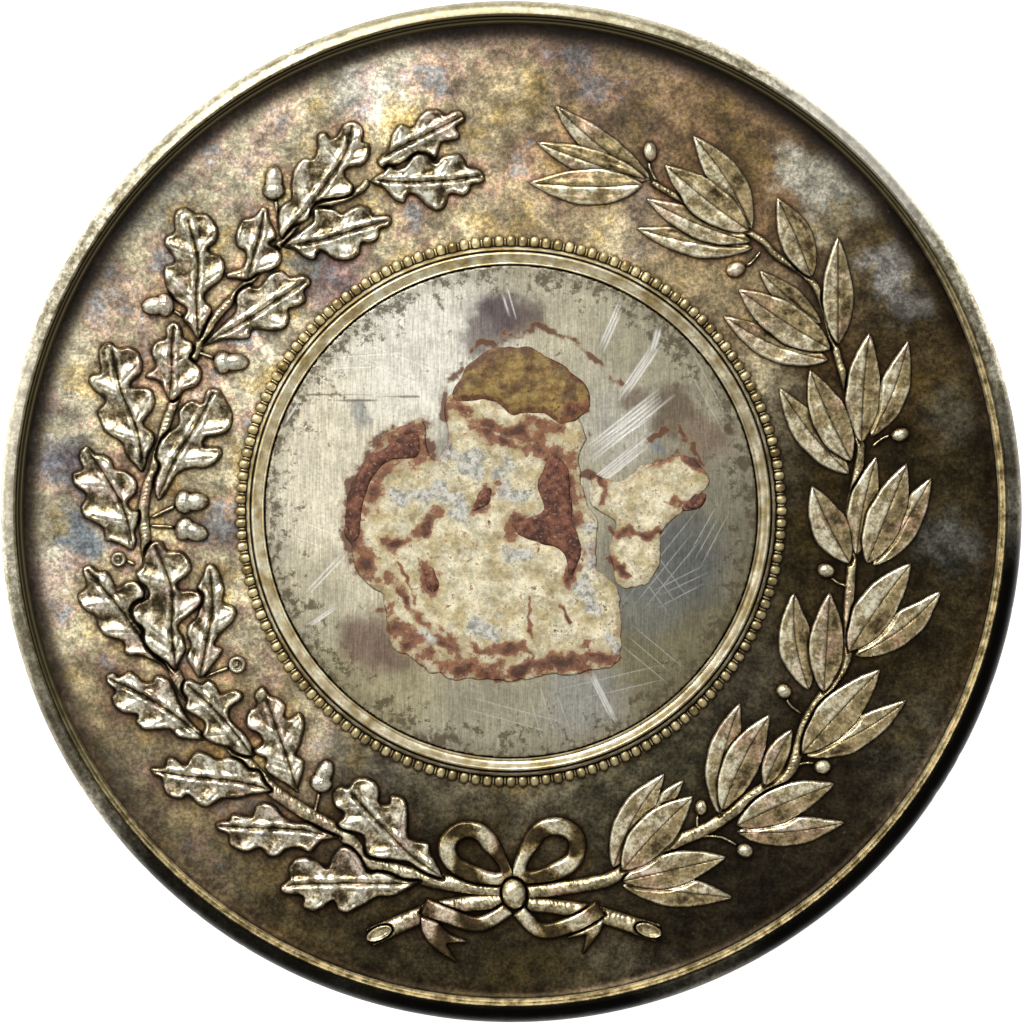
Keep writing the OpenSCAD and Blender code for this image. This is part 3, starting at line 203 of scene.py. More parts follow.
# The laurel branch: base, tip, width, bend to the left of its run, spray.
LAUREL_LEAVES = [
    ((6.9, 16.2), (2.1, 19.95), 1.35, 0.25, 1),
    ((6.7, 16.2), (1.2, 18.1), 1.3, 0.1, 1),
    ((6.5, 16.0), (0.85, 16.1), 1.6, 0.15, 1),
    ((11.8, 13.8), (8.85, 18.45), 1.5, -0.25, 2),
    ((11.9, 12.9), (6.05, 13.9), 1.25, 0.25, 2),
    ((11.8, 13.2), (6.55, 15.35), 1.3, 0.2, 2),
    ((11.7, 13.7), (7.5, 17.0), 1.7, 0.1, 2),
    ((14.7, 11.4), (13.0, 15.4), 1.5, -0.1, 3),
    ((15.2, 9.2), (12.1, 11.85), 1.1, 0.1, 3),
    ((15.6, 7.4), (10.35, 9.6), 1.4, 0.35, 3),
    ((15.7, 7.9), (11.1, 10.9), 1.7, 0.1, 3),
    ((16.0, 8.1), (16.0, 13.5), 1.4, 0.0, 3),
    ((17.6, 3.6), (19.45, 8.4), 1.35, -0.2, 4),
    ((17.15, 3.3), (17.55, 8.8), 1.55, 0.1, 4),
    ((16.6, 1.8), (13.1, 6.1), 1.45, 0.2, 4),
    ((16.7, 2.4), (14.6, 7.0), 1.65, 0.1, 4),
    ((17.7, -2.7), (20.6, 1.7), 1.4, -0.15, 5),
    ((16.9, -2.2), (17.9, 2.75), 1.35, 0.15, 5),
    ((16.6, -2.6), (14.7, 1.3), 1.6, 0.1, 5),
    ((17.4, -2.6), (19.4, 2.4), 1.65, 0.0, 5),
    ((16.8, -7.1), (21.1, -3.85), 1.4, -0.3, 6),
    ((16.5, -6.9), (19.6, -2.5), 1.75, 0.1, 6),
    ((14.6, -8.8), (13.85, -3.9), 1.5, 0.3, 6),
    ((15.3, -8.9), (15.6, -3.9), 1.55, 0.0, 6),
    ((14.4, -12.0), (19.4, -9.2), 1.35, -0.25, 7),
    ((14.2, -11.9), (18.1, -7.7), 1.75, 0.05, 7),
    ((12.4, -13.5), (13.8, -10.6), 1.05, 0.1, 8),
    ((10.2, -14.9), (11.25, -9.3), 1.45, 0.35, 8),
    ((10.3, -14.7), (12.7, -9.9), 1.6, 0.2, 8),
    ((11.0, -15.7), (16.4, -15.2), 1.3, -0.2, 8),
    ((11.0, -15.4), (15.9, -13.3), 1.6, 0.1, 8),
    ((6.0, -16.3), (8.5, -13.1), 1.0, 0.1, 9),
    ((5.0, -17.5), (7.55, -12.8), 1.5, 0.3, 9),
    ((5.4, -18.3), (10.9, -18.9), 1.4, 0.0, 9),
    ((5.4, -18.1), (10.6, -16.9), 1.55, 0.0, 9),
    ((5.4, -17.6), (8.95, -13.9), 1.75, 0.1, 9),
]

# Acorns: centre of the cup, tip of the nut, foot of the stalk.
ACORNS = [
    ((-11.6, 15.7), (-11.6, 16.95), (-11.35, 13.7)),
    ((-16.95, 10.1), (-18.1, 10.0), (-15.8, 9.3)),
    ((-14.1, 7.3), (-12.8, 7.3), (-15.4, 7.8)),
    ((-16.0, 0.45), (-14.75, 0.5), (-17.6, -0.3)),
    ((-16.0, -0.85), (-14.8, -1.2), (-17.6, -0.7)),
    ((-9.3, -13.3), (-8.9, -12.15), (-9.6, -14.7)),
]
OPEN_CUPS = [((-13.4, -7.5), 0.85, (-15.0, -8.1)), ((-19.2, -2.35), 0.75, (-18.4, -2.6))]

# Berries: centre, length, width, direction, foot of the stalk.
BERRIES = [
    ((6.8, 17.6), 0.98, 0.68, 95, (7.1, 16.2)), ((11.0, 11.85), 1.0, 0.75, 20, (12.2, 12.7)),
    ((19.05, 3.75), 0.95, 0.65, 15, (17.7, 3.2)), ((15.4, -2.9), 0.9, 0.7, -15, (16.6, -3.7)),
    ((13.35, -8.8), 0.8, 0.7, -30, (14.2, -9.9)), ((15.25, -12.5), 0.85, 0.7, 0, (14.0, -12.4)),
    ((9.3, -14.5), 0.8, 0.6, 90, (9.2, -15.7)), ((11.45, -16.6), 0.85, 0.68, -20, (9.0, -15.9)),
]

OAK_ROUTE = [
    (0, -18.6), (-3, -18.2), (-4.9, -17.8), (-7.0, -17.1), (-8.1, -15.9), (-9.8, -14.9),
    (-11.7, -13.6), (-13.2, -12), (-15.4, -9.5), (-16.4, -8.0), (-17.4, -5), (-17.95, -0.7),
    (-17.9, 0.8), (-17.4, 2.3), (-16.7, 4.8), (-15.5, 7.6), (-14.6, 9.3), (-12.8, 11.3),
    (-11.3, 13.1), (-9.9, 14.6), (-7.6, 15.6), (-7.0, 16.2),
]
LAUREL_ROUTE = [
    (0.6, -18.7), (4.0, -18.2), (5.2, -17.8), (7.8, -16.3), (9.8, -15.4), (12, -13.8),
    (13.7, -12.6), (14.4, -10.4), (15.4, -8.8), (16.4, -7.2), (16.5, -5), (16.7, -2),
    (16.6, 0), (17.1, 2.8), (16.8, 4.6), (16, 7.5), (14.9, 11), (13, 12.5), (11.9, 13.5),
    (8.3, 15.3), (6.9, 16.1),
]
OAK_CUT_ROUTE = [(-0.2, -19.1), (-2, -19.2), (-4, -19.6), (-6.9, -20.85)]
LAUREL_CUT_ROUTE = [(0.8, -19.2), (3.8, -19.6), (7.2, -20.65)]

# Middle lines of the ribbon: closed loops, then each tail's run to its fold and down from it.
LOOP_LEFT = [(-0.2, -17.9), (-1.8, -17.75), (-2.9, -17.1), (-3.1, -16.2), (-2.4, -15.6),
             (-1.5, -15.75), (-0.8, -16.6)]
LOOP_RIGHT = [(0.4, -17.8), (0.9, -16.4), (1.4, -15.65), (2.2, -15.4), (3.0, -15.7),
              (3.25, -16.4), (2.9, -17.2), (1.9, -17.7)]
TAIL_LEFT = [[(-0.1, -19.4), (-1.5, -20.2), (-3, -19.8), (-4.3, -19.3)],
             [(-4.0, -19.3), (-3.95, -20.2), (-3.4, -21.0), (-2.3, -21.6)]]
TAIL_RIGHT = [[(0.3, -19.5), (1.5, -20.5), (3, -20.2), (4.4, -19.4)],
              [(4.2, -19.4), (3.9, -20.4), (3.0, -21.4)]]
RIBBON_W = 0.92
KNOT = (0.15, -18.7)
KNOT_EGG = (KNOT, 0.78, 0.62, 102)  # its centre, half length, half width and angle

# Dried residue on the plate, as outlines.
GLUE_PATCH = [
    (-8.1, -0.8), (-7.7, 1.4), (-6.6, 3.2), (-5.3, 4.1), (-4.3, 4.4), (-4.1, 3.2), (-3.6, 2.4),
    (-3.1, 3.6), (-3.3, 5.2), (-2.4, 5.8), (0.4, 5.2), (2.9, 4.9), (3.6, 3.8), (3.2, 2.4),
    (3.7, 0.8), (4.1, -0.6), (4.1, -2.6), (5.3, -3.9), (5.3, -7.0), (3.6, -7.9), (0.4, -8.1),
    (-2.9, -8.2), (-5.6, -6.7), (-6.1, -4.6), (-7.2, -3.2),
]
RIGHT_GLUE = [(3.9, 1.7), (5.0, 1.6), (6.6, 2.2), (8.6, 2.7), (9.7, 1.6), (8.6, 0.1), (7.5, -1.0),
              (7.2, -2.9), (6.2, -3.7), (5.2, -3.5), (4.8, -2.0), (5.0, -0.6), (4.1, 0.3)]
GLUE_LUMP = [(-2.6, 5.4), (-2.5, 6.6), (-1.2, 7.9), (0.9, 8.1), (2.3, 7.3), (3.6, 6.2), (3.8, 5.0),
             (2.6, 4.2), (1.4, 4.9), (0.2, 4.6), (-0.9, 5.4)]
RED_CRUSTS = [
    [(0.2, -0.7), (1.5, 0.1), (1.3, 1.3), (1.9, 2.6), (2.7, 2.2), (2.9, 0.9), (3.1, -0.6),
     (3.5, -1.9), (2.9, -3.3), (2.5, -2.0), (0.9, -1.4)],
    [(-7.9, -1.4), (-8.0, 0.6), (-7.1, 2.3), (-5.7, 3.5), (-4.5, 3.8), (-4.5, 2.7),
     (-6.1, 2.4), (-7.2, 0.6), (-7.4, -1.2)],
    [(-1.9, 0.0), (-1.5, 0.9), (-1.0, 1.1), (-1.2, 0.4)],
    [(-4.3, -2.9), (-3.9, -2.7), (-3.6, -3.4), (-3.8, -4.0), (-4.1, -3.7)],
    [(8.3, 0.1), (9.3, 0.2), (9.5, 0.8), (8.9, 0.7)],
]
# Stains and bare streaks in the residue: a run of points and how wide the mark is, in mm.
RED_STREAKS = [
    ([(-4.3, 4.1), (-5.4, 3.8), (-6.5, 3.0), (-7.4, 1.7), (-7.9, 0.2), (-7.9, -1.3), (-7.2, -2.9)], 0.5),
    ([(-4.4, 3.0), (-5.6, 2.7), (-6.7, 1.6), (-7.0, 0.4)], 0.6),
    ([(0.8, 3.8), (2.0, 3.0), (2.5, 1.8), (2.8, 0.6), (2.9, -0.6)], 0.6),
    ([(0.2, -0.7), (1.5, -0.6), (2.9, -0.6)], 0.55), ([(2.9, -0.6), (3.4, -2.0), (2.9, -3.4)], 0.3),
    ([(-1.1, 1.0), (-1.7, 0.0)], 0.3), ([(-4.1, -2.8), (-3.9, -3.9)], 0.35),
    ([(-3.8, 0.0), (-4.1, -0.9), (-5.0, -1.5), (-5.9, -1.8)], 0.33),
    ([(-6.2, -3.2), (-5.0, -4.6), (-3.8, -5.8), (-2.9, -6.8)], 0.22), ([(-5.6, -2.8), (-4.5, -4.5)], 0.1),
    ([(-5.6, -5.6), (-4.6, -6.8), (-3.0, -7.6), (-1.2, -7.9), (1.0, -7.6), (3.0, -7.4), (5.0, -7.2)], 0.42),
    ([(-3.2, -6.4), (-1.4, -7.0), (0.6, -6.7)], 0.3), ([(0.7, -4.2), (1.3, -6.1)], 0.12),
    ([(3.4, -6.6), (4.0, -7.9)], 0.13), ([(-6.4, -5.0), (-5.3, -6.0)], 0.3),
    ([(-2.8, 7.2), (-3.1, 6.0), (-3.2, 4.6)], 0.22), ([(2.2, -4.3), (2.9, -5.6)], 0.1),
    ([(-1.8, 7.9), (-0.5, 8.7), (1.3, 8.9), (3.0, 8.4), (4.4, 7.2), (5.3, 6.2)], 0.2),
    ([(-2.7, 5.2), (-1.0, 4.3), (0.6, 4.0), (1.9, 4.2), (3.3, 4.9)], 0.36), ([(-1.5, 4.0), (0.6, 3.0)], 0.3),
    ([(6.8, 3.9), (7.9, 4.3), (8.6, 3.6), (9.3, 2.4)], 0.16), ([(8.3, 0.3), (9.2, 0.5)], 0.3),
    ([(4.8, -2.4), (5.6, -3.4)], 0.18), ([(3.9, 1.9), (4.6, 1.2), (4.7, 0.3)], 0.2),
    ([(5.0, -0.8), (6.0, -1.2), (7.1, -1.1)], 0.2), ([(6.9, 2.5), (8.3, 2.9), (9.4, 2.0)], 0.2),
]
BARE_STREAKS = [
    ([(-3.4, 3.0), (-2.0, 2.4), (-0.6, 2.0)], 0.75), ([(-0.2, 1.0), (0.5, 0.8)], 0.4),
    ([(4.1, -0.9), (3.8, -2.4)], 0.5), ([(3.6, -3.6), (3.9, -4.7)], 0.4), ([(-1.8, -5.5), (-0.7, -5.9)], 0.5),
    ([(-4.4, -6.2), (-3.9, -6.0)], 0.45), ([(-3.6, 0.9), (-1.9, -0.3)], 0.45), ([(-5.4, 0.8), (-4.0, 0.4)], 0.4),
    ([(4.9, -6.2), (5.3, -7.0)], 0.4), ([(-0.2, -1.9), (0.7, -2.2)], 0.3),
]


# ---------------------------------------------------------------- curves and outlines


def smooth_curve(points, parts, closed):
    """A curve through the points, with parts steps between each two."""
    p = np.array(points, float)
    n = len(p)
    out = []
    for i in range(n if closed else n - 1):
        if closed:
            a, b, c, d = p[(i - 1) % n], p[i], p[(i + 1) % n], p[(i + 2) % n]
        else:
            a, b, c, d = p[max(i - 1, 0)], p[i], p[i + 1], p[min(i + 2, n - 1)]
        for k in range(parts):
            t = k / parts
            out.append(0.5 * (2 * b + (c - a) * t + (2 * a - 5 * b + 4 * c - d) * t * t
                              + (3 * b - a - 3 * c + d) * t**3))
    if not closed:
        out.append(p[-1])
    return np.array(out)


def across(run):
    """The unit vector to the left of a run."""
    return np.array([-run[1], run[0]]) / np.linalg.norm(run)


def sides(path):
    """The unit vector to the left of a path, at each of its points."""
    run = np.gradient(path, axis=0)
    run /= np.linalg.norm(run, axis=1)[:, None]
    return np.stack([-run[:, 1], run[:, 0]], 1)


def band_outline(path, w0, w1):
    """The outline of a band along a path, from one width to another."""
    side = sides(path)
    half = np.linspace(w0, w1, len(path))[:, None] / 2
    return np.concatenate([path + side * half, (path - side * half)[::-1]])


def resampled(line, step):
    """A closed outline with a point about every step."""
    ring = np.vstack([line, line[:1]])
    seg = np.linalg.norm(np.diff(ring, axis=0), axis=1)
    at = np.concatenate([[0], np.cumsum(seg)])
    count = max(8, int(round(at[-1] / step)))
    s = np.linspace(0, at[-1], count, endpoint=False)
    return np.stack([np.interp(s, at, ring[:, 0]), np.interp(s, at, ring[:, 1])], 1)


def distance_to(points, line, closed):
    """Distance from each point to a line, with the place along it and the side it lies on."""
    a = np.array(line, float)
    b = np.roll(a, -1, axis=0)
    if not closed:
        a, b = a[:-1], b[:-1]
    ab = b - a
    length = np.linalg.norm(ab, axis=1)
    keep = length > 1e-9
    a, ab, length = a[keep], ab[keep], length[keep]
    start = np.concatenate([[0], np.cumsum(length)[:-1]])
    ap = points[:, None, :] - a[None]
    t = np.clip((ap * ab[None]).sum(2) / (length**2)[None], 0, 1)
    gap = ap - ab[None] * t[..., None]
    dist = np.linalg.norm(gap, axis=2)
    best = dist.argmin(1)
    row = np.arange(len(points))
    along = start[best] + t[row, best] * length[best]
    cross = ab[best, 0] * ap[row, best, 1] - ab[best, 1] * ap[row, best, 0]
    return dist[row, best], along, np.sign(cross)


def inside(points, loops):
    """Which points lie inside the loops, where a loop inside another is a hole."""
    hit = np.zeros(len(points), bool)
    x, y = points[:, 0], points[:, 1]
    for loop in loops:
        a = np.array(loop)
        b = np.roll(a, -1, axis=0)
        for (x1, y1), (x2, y2) in zip(a, b):
            if y1 == y2:
                continue
            crosses = (y1 > y) != (y2 > y)
            hit ^= crosses & (x < (x2 - x1) * (y - y1) / (y2 - y1) + x1)
    return hit


def ease(x):
    """0 below 0, 1 above 1, and smooth between."""
    x = np.clip(x, 0, 1)
    return x * x * (3 - 2 * x)


def ripple(points, size, seed):
    """Soft unevenness from -1 to 1, with bumps about size millimetres across."""
    off = Vector((seed * 7.3, seed * 3.1, seed * 1.7))
    return np.array([noise.noise(Vector((x / size, y / size, 0)) + off) for x, y in points])


def streaked(points, streaks, wander=0.45, seed=9):
    """How strongly a set of streaks marks each point, from 0 to 1, with wandering edges."""
    mark = np.zeros(len(points))
    drift = np.stack([ripple(points, 1.1, seed) + 0.55 * ripple(points, 0.4, seed + 1),
                      ripple(points, 1.1, seed + 2) + 0.55 * ripple(points, 0.4, seed + 3)], 1)
    moved = points + wander * drift
    for line, wide in streaks:
        line = np.array(line)
        near = ((moved > line.min(0) - 3 * wide) & (moved < line.max(0) + 3 * wide)).all(1)
        if near.any():
            d = distance_to(moved[near], line, False)[0]
            mark[near] = np.maximum(mark[near], np.exp(-(d / (1.2 * wide)) ** 2))
    patchy = 0.8 + 0.75 * ripple(points, 0.75, seed + 4)
    return np.clip(mark * patchy, 0, 1)


# ---------------------------------------------------------------- meshes


def shell(loops, height, step, floor_z, extra=None):
    """A closed struck surface over the loops: its points, faces and named point values.

    Extra points make the surface finer where a thin mark lies on it.

    height(points, edge_distance) gives the height in millimetres and a dict of values.
    """
    loops = [resampled(np.array(loop), step) for loop in loops]
    low = np.min([l.min(0) for l in loops], axis=0)
    high = np.max([l.max(0) for l in loops], axis=0)
    rows = []
    y = low[1]
    odd = False
    while y <= high[1]:
        xs = np.arange(low[0] + (step / 2 if odd else 0), high[0], step)
        rows.append(np.stack([xs, np.full(len(xs), y)], 1))
        y += step * 0.866
        odd = not odd
    grid = np.concatenate(rows)
    grid = grid[inside(grid, loops)]
    edge = np.min([distance_to(grid, l, True)[0] for l in loops], axis=0)
    grid = grid[edge > step * 0.55]
    if extra is not None:
        grid = np.concatenate([grid, extra])
    points = np.concatenate(loops + [grid])
    edges = []
    first = 0
    for l in loops:
        n = len(l)
        edges += [(first + i, first + (i + 1) % n) for i in range(n)]
        first += n
    made = delaunay_2d_cdt([Vector(p) for p in points], edges, [], 0, 1e-6)
    flat = np.array([(v.x, v.y) for v in made[0]])
    faces = np.array([f for f in made[2] if len(f) == 3])
    faces = faces[inside(flat[faces].mean(1), loops)]
    edge = np.min([distance_to(flat, l, True)[0] for l in loops], axis=0)
    on_edge = edge < 1e-5
    h, values = height(flat, edge)
    h = np.where(on_edge, 0.0, np.maximum(h, 0.01))
    top = np.column_stack([flat, h])
    under = np.column_stack([flat, np.zeros(len(flat))])
    # the underside shares the border, so that the shell is closed
    index = np.where(on_edge, np.arange(len(flat)), np.arange(len(flat)) + len(flat))
    # a triangle with all its corners on the border has no thickness, and is left out
    faces = faces[~on_edge[faces].all(1)]
    corner = flat[faces]
    turn = ((corner[:, 1, 0] - corner[:, 0, 0]) * (corner[:, 2, 1] - corner[:, 0, 1])
            - (corner[:, 1, 1] - corner[:, 0, 1]) * (corner[:, 2, 0] - corner[:, 0, 0]))
    faces = np.where((turn < 0)[:, None], faces[:, ::-1], faces)
    all_points = np.concatenate([top, under]) * MM
    all_points[:, 2] += floor_z
    all_faces = np.concatenate([faces, index[faces][:, ::-1]])
    values = {k: np.concatenate([v, v]) for k, v in values.items()}
    return all_points, all_faces, values


def joined(parts):
    """Several shells as one set of points, faces and values."""
    points, faces, values, first = [], [], {}, 0
    for p, f, v in parts:
        points.append(p)
        faces.append(f + first)
        for k in v:
            values.setdefault(k, []).append(v[k])
        first += len(p)
    return np.concatenate(points), np.concatenate(faces), {k: np.concatenate(v) for k, v in values.items()}


def shown(name, mesh):
    """A new object for a mesh, shaded smooth."""
    mesh.shade_smooth()
    obj = bpy.data.objects.new(name, mesh)
    bpy.context.scene.collection.objects.link(obj)
    return obj


def mesh_piece(name, points, faces, values):
    """A mesh object from arrays, with each value as a point attribute."""
    used, back = np.unique(faces.ravel(), return_inverse=True)
    mesh = bpy.data.meshes.new(name)
    mesh.from_pydata(points[used].tolist(), [], back.reshape(faces.shape).tolist())
    for key, v in values.items():
        mesh.attributes.new(key, "FLOAT", "POINT").data.foreach_set("value", v[used].astype(np.float32))
    return shown(name, mesh)


def settle(obj, material, slot, *nodes):
    """Gives a piece its finish and its place in the model."""
    obj.data.materials.clear()
    obj.data.materials.append(material)
    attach(obj, "root")
    if nodes:
        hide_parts(*nodes)
    return obj


def only(obj):
    """Makes an object the one that is selected and active."""
    bpy.ops.object.select_all(action="DESELECT")
    obj.select_set(True)
    bpy.context.view_layer.objects.active = obj


def turned(name, profile, turns):
    """A ring or disc turned from a profile of (radius, height) points, in metres."""
    bpy.ops.object.select_all(action="DESELECT")
    bpy.ops.mesh.primitive_circle_add(vertices=len(profile), radius=MM, location=(0, 0, 0))
    obj = bpy.context.object
    obj.name = name
    for v, (r, z) in zip(obj.data.vertices, profile):
        v.co = (r, 0, z)
    bpy.ops.object.mode_set(mode="EDIT")
    bpy.ops.mesh.select_all(action="SELECT")
    bpy.ops.mesh.spin(steps=turns, angle=math.tau, center=(0, 0, 0), axis=(0, 0, 1), use_auto_merge=True)
    bpy.ops.mesh.select_all(action="SELECT")
    bpy.ops.mesh.remove_doubles(threshold=1e-7)
    bpy.ops.mesh.normals_make_consistent(inside=False)
    bpy.ops.object.mode_set(mode="OBJECT")
    return obj


def ring_piece(name, profile, turns, angle, material, slot, *nodes):
    """A turned piece, shaded, finished and in its place."""
    obj = turned(name, profile, turns)
    only(obj)
    rounded(angle)
    return settle(obj, material, slot, *nodes)


def rounded(angle):
    """Shades an object smooth, apart from corners sharper than the angle."""
    bpy.ops.object.shade_smooth_by_angle(angle=math.radians(angle))


# ---------------------------------------------------------------- materials


def linear(code):
    """A hex sRGB colour as linear red, green, blue and alpha."""
    out = []
    for k in (1, 3, 5):
        c = int(code[k:k + 2], 16) / 255
        out.append(c / 12.92 if c <= 0.04045 else ((c + 0.055) / 1.055) ** 2.4)
    return (*out, 1.0)


def add(tree, kind, settings=None, **inputs):
    """Adds a node. Inputs are values or other nodes' outputs, by the socket's name or number."""
    n = tree.nodes.new(kind)
    for key, value in (settings or {}).items():
        setattr(n, key, value)
    for key, value in inputs.items():
        socket = n.inputs[int(key[1:])] if key[0] == "_" and key[1:].isdigit() else n.inputs[key.replace("_", " ")]
        if isinstance(value, bpy.types.NodeSocket):
            tree.links.new(value, socket)
        else:
            socket.default_value = value
    return n


def new_material(name):
    """An empty material and its node tree."""
    mat = bpy.data.materials.new(name)
    mat.use_nodes = True
    mat.node_tree.nodes.clear()
    return mat, mat.node_tree


def place_of(tree):
    """Object coordinates in millimetres."""
    at = add(tree, "ShaderNodeTexCoord").outputs["Object"]
    return add(tree, "ShaderNodeVectorMath", {"operation": "SCALE"}, _0=at, Scale=1 / MM).outputs[0]


def grain(tree, at, size, detail=4.0, rough=0.55, stretch=(1, 1, 1)):
    """Noise whose features are about size millimetres across."""
    if stretch != (1, 1, 1):
        at = add(tree, "ShaderNodeVectorMath", {"operation": "MULTIPLY"}, _0=at, _1=stretch).outputs[0]
    return add(tree, "ShaderNodeTexNoise", Vector=at, Scale=1 / size, Detail=detail, Roughness=rough).outputs["Fac"]


def ramp(tree, value, low, high, to_low=0.0, to_high=1.0):
    """A soft step from one value to another."""
    return add(tree, "ShaderNodeMapRange", {"interpolation_type": "SMOOTHSTEP"},
               Value=value, _1=low, _2=high, _3=to_low, _4=to_high).outputs[0]


def product(tree, value, *others):
    """All the values multiplied together."""
    for other in others:
        value = add(tree, "ShaderNodeMath", {"operation": "MULTIPLY"}, _0=value, _1=other).outputs[0]
    return value


def total(tree, value, *others):
    """All the values added up."""
    for other in others:
        value = add(tree, "ShaderNodeMath", {"operation": "ADD"}, _0=value, _1=other).outputs[0]
    return value


def centred(tree, value, reach):
    """Noise moved to lie about 0, and stretched."""
    return product(tree, total(tree, value, -0.5), reach)


def blend(tree, share, a, b, mode="MIX"):
    """Mixes two colours, each a hex code or another node's output."""
    a = linear(a) if isinstance(a, str) else a
    b = linear(b) if isinstance(b, str) else b
    kind = {"data_type": "RGBA", "blend_type": mode, "clamp_factor": True}
    return add(tree, "ShaderNodeMix", kind, _0=share, _6=a, _7=b).outputs[2]


def towards(tree, at, x, y, low, high):
    """1 on the side of the medal that a direction points to, 0 on the other, and soft between."""
    dot = add(tree, "ShaderNodeVectorMath", {"operation": "DOT_PRODUCT"}, _0=at, _1=(x, y, 0)).outputs["Value"]
    return ramp(tree, dot, low, high)


def scaled(tree, colour, factor):
    """A colour made lighter or darker by a factor."""
    return add(tree, "ShaderNodeVectorMath", {"operation": "SCALE"}, _0=colour, Scale=factor).outputs[0]


def painted(tree, at, colour, patches, wander, size):
    """Lays soft-edged patches on a colour: stains, and painted light and shade where a table holds them. Each is (x,
    y, reach, strength, colour), in mm.
    """
    shift = add(tree, "ShaderNodeTexNoise", Vector=at, Scale=1 / size, Detail=5.0, Roughness=0.6).outputs["Color"]
    shift = add(tree, "ShaderNodeVectorMath", {"operation": "SUBTRACT"}, _0=shift, _1=(0.5, 0.5, 0.5)).outputs[0]
    shift = add(tree, "ShaderNodeVectorMath", {"operation": "SCALE"}, _0=shift, Scale=wander).outputs[0]
    spot = add(tree, "ShaderNodeVectorMath", {"operation": "ADD"}, _0=at, _1=shift).outputs[0]
    spot = add(tree, "ShaderNodeVectorMath", {"operation": "MULTIPLY"}, _0=spot, _1=(1, 1, 0)).outputs[0]
    for x, y, reach, strength, code in patches:
        gap = add(tree, "ShaderNodeVectorMath", {"operation": "DISTANCE"}, _0=spot, _1=(x, y, 0)).outputs["Value"]
        share = ramp(tree, gap, reach * 0.45, reach * 1.2, strength, 0.0)
        colour = blend(tree, share, colour, code)
    return colour


def ragged_share(tree, mask, noise, low=0.42, high=0.58, reach=1.5):
    """Breaks a soft mask up into a share with a ragged edge."""
    shift = centred(tree, noise, reach)
    return ramp(tree, total(tree, mask, shift), low, high)


def value_of(tree, name):
    """A value that the mesh carries at each point, such as its height or a stain."""
    return add(tree, "ShaderNodeAttribute", {"attribute_name": name}).outputs["Fac"]


def crevice(tree, reach, low, high):
    """1 in corners and beside raised work closer than reach millimetres, 0 in the open. It is ambient occlusion, so a
    dark colour laid by it is painted shade as well as tarnish.
    """
    ao = add(tree, "ShaderNodeAmbientOcclusion", {"samples": 6}, Distance=reach * MM).outputs["AO"]
    return ramp(tree, ao, low, high, 1.0, 0.0)


def finish(tree, colour, metallic, roughness, bump=None, strength=0.3, depth=0.02):
    """Joins colour, gloss and bump into the surface."""
    links = {"Base_Color": colour, "Metallic": metallic, "Roughness": roughness}
    if bump is not None:
        links["Normal"] = add(tree, "ShaderNodeBump", Strength=strength, Distance=depth * MM, Height=bump).outputs[0]
    shader = add(tree, "ShaderNodeBsdfPrincipled", **links)
    add(tree, "ShaderNodeOutputMaterial", Surface=shader.outputs[0])
    return shader


# Toning of the field, with painted light laid in it: lighter to the upper left with painted highlights, darker to the
# right and the bottom: (x, y, reach, strength, colour) in mm.
FIELD_TONES_AND_LIGHT = [
    (20.0, -2.0, 13.0, 0.97, "#2F2409"), (12.0, -17.0, 12.0, 0.97, "#1C1303"),
    (-4.0, -21.5, 12.0, 0.95, "#2C2208"), (-15.0, -19.0, 7.0, 0.8, "#605233"), (-19.0, -12.5, 4.0, 0.7, "#786848"),
    (12.0, 18.0, 8.0, 0.9, "#745530"), (18.5, 10.0, 7.0, 0.9, "#4F3D1E"),
    (4.0, 21.0, 6.0, 0.8, "#8E7454"), (-1.5, 22.3, 3.0, 0.5, "#8A7460"), (0.0, 19.6, 2.6, 0.6, "#D6C294"),
    (8.5, 10.0, 4.5, 0.7, "#8A754C"), (2.0, 15.5, 4.0, 0.6, "#B89C70"), (-9.0, 19.5, 6.0, 0.7, "#E4D4AC"),
    (-13.5, 17.5, 4.0, 0.8, "#EEE2BE"), (-7.0, 20.6, 1.8, 0.9, "#FFF9E4"), (-5.5, 22.0, 1.2, 0.7, "#FBF1D6"),
    (-21.0, -1.3, 1.7, 0.85, "#74828E"), (-22.3, 2.5, 1.6, 0.8, "#8C90A6"),
    (-22.6, -3.0, 1.6, 0.9, "#FFF3D4"), (-20.0, 12.0, 4.5, 0.6, "#B0A486"), (-17.6, 15.6, 2.5, 0.7, "#93958C"),
    (-21.5, 7.0, 2.0, 0.5, "#D9D0B4"),
    (-13.4, 5.5, 1.7, 0.7, "#F6EAC9"), (-12.2, 8.8, 2.0, 0.75, "#FBF0D2"), (-13.6, 0.3, 1.5, 0.6, "#A3946F"),
    (-22.0, 5.0, 3.0, 0.5, "#D9D0B4"), (-14.0, 14.0, 2.0, 0.5, "#8F8A6E"), (-5.0, 17.0, 1.5, 0.4, "#B08C86"),
    (-8.8, 11.2, 1.8, 0.7, "#AC9292"), (-10.0, 12.4, 1.1, 0.7, "#838E90"), (-12.5, -10.0, 3.0, 0.6, "#9C8455"),
    (6.0, -12.5, 5.0, 0.7, "#5B5640"), (-7.0, -12.4, 2.6, 0.7, "#686250"),
    (15.5, 15.4, 2.3, 0.9, "#B3AE9C"), (18.3, 11.6, 1.5, 0.8, "#A09D96"), (13.8, 17.0, 1.3, 0.8, "#BDB7A4"),
    (19.3, 10.0, 1.2, 0.6, "#8A8984"), (21.5, -1.5, 1.8, 0.6, "#66665E"), (21.6, 4.5, 1.5, 0.4, "#605E52"),
    (-19.5, -9.0, 3.0, 0.6, "#A08A5E"), (-16.0, -13.5, 3.0, 0.5, "#85724E"), (-4.0, 14.0, 2.5, 0.5, "#CDB88E"),
]


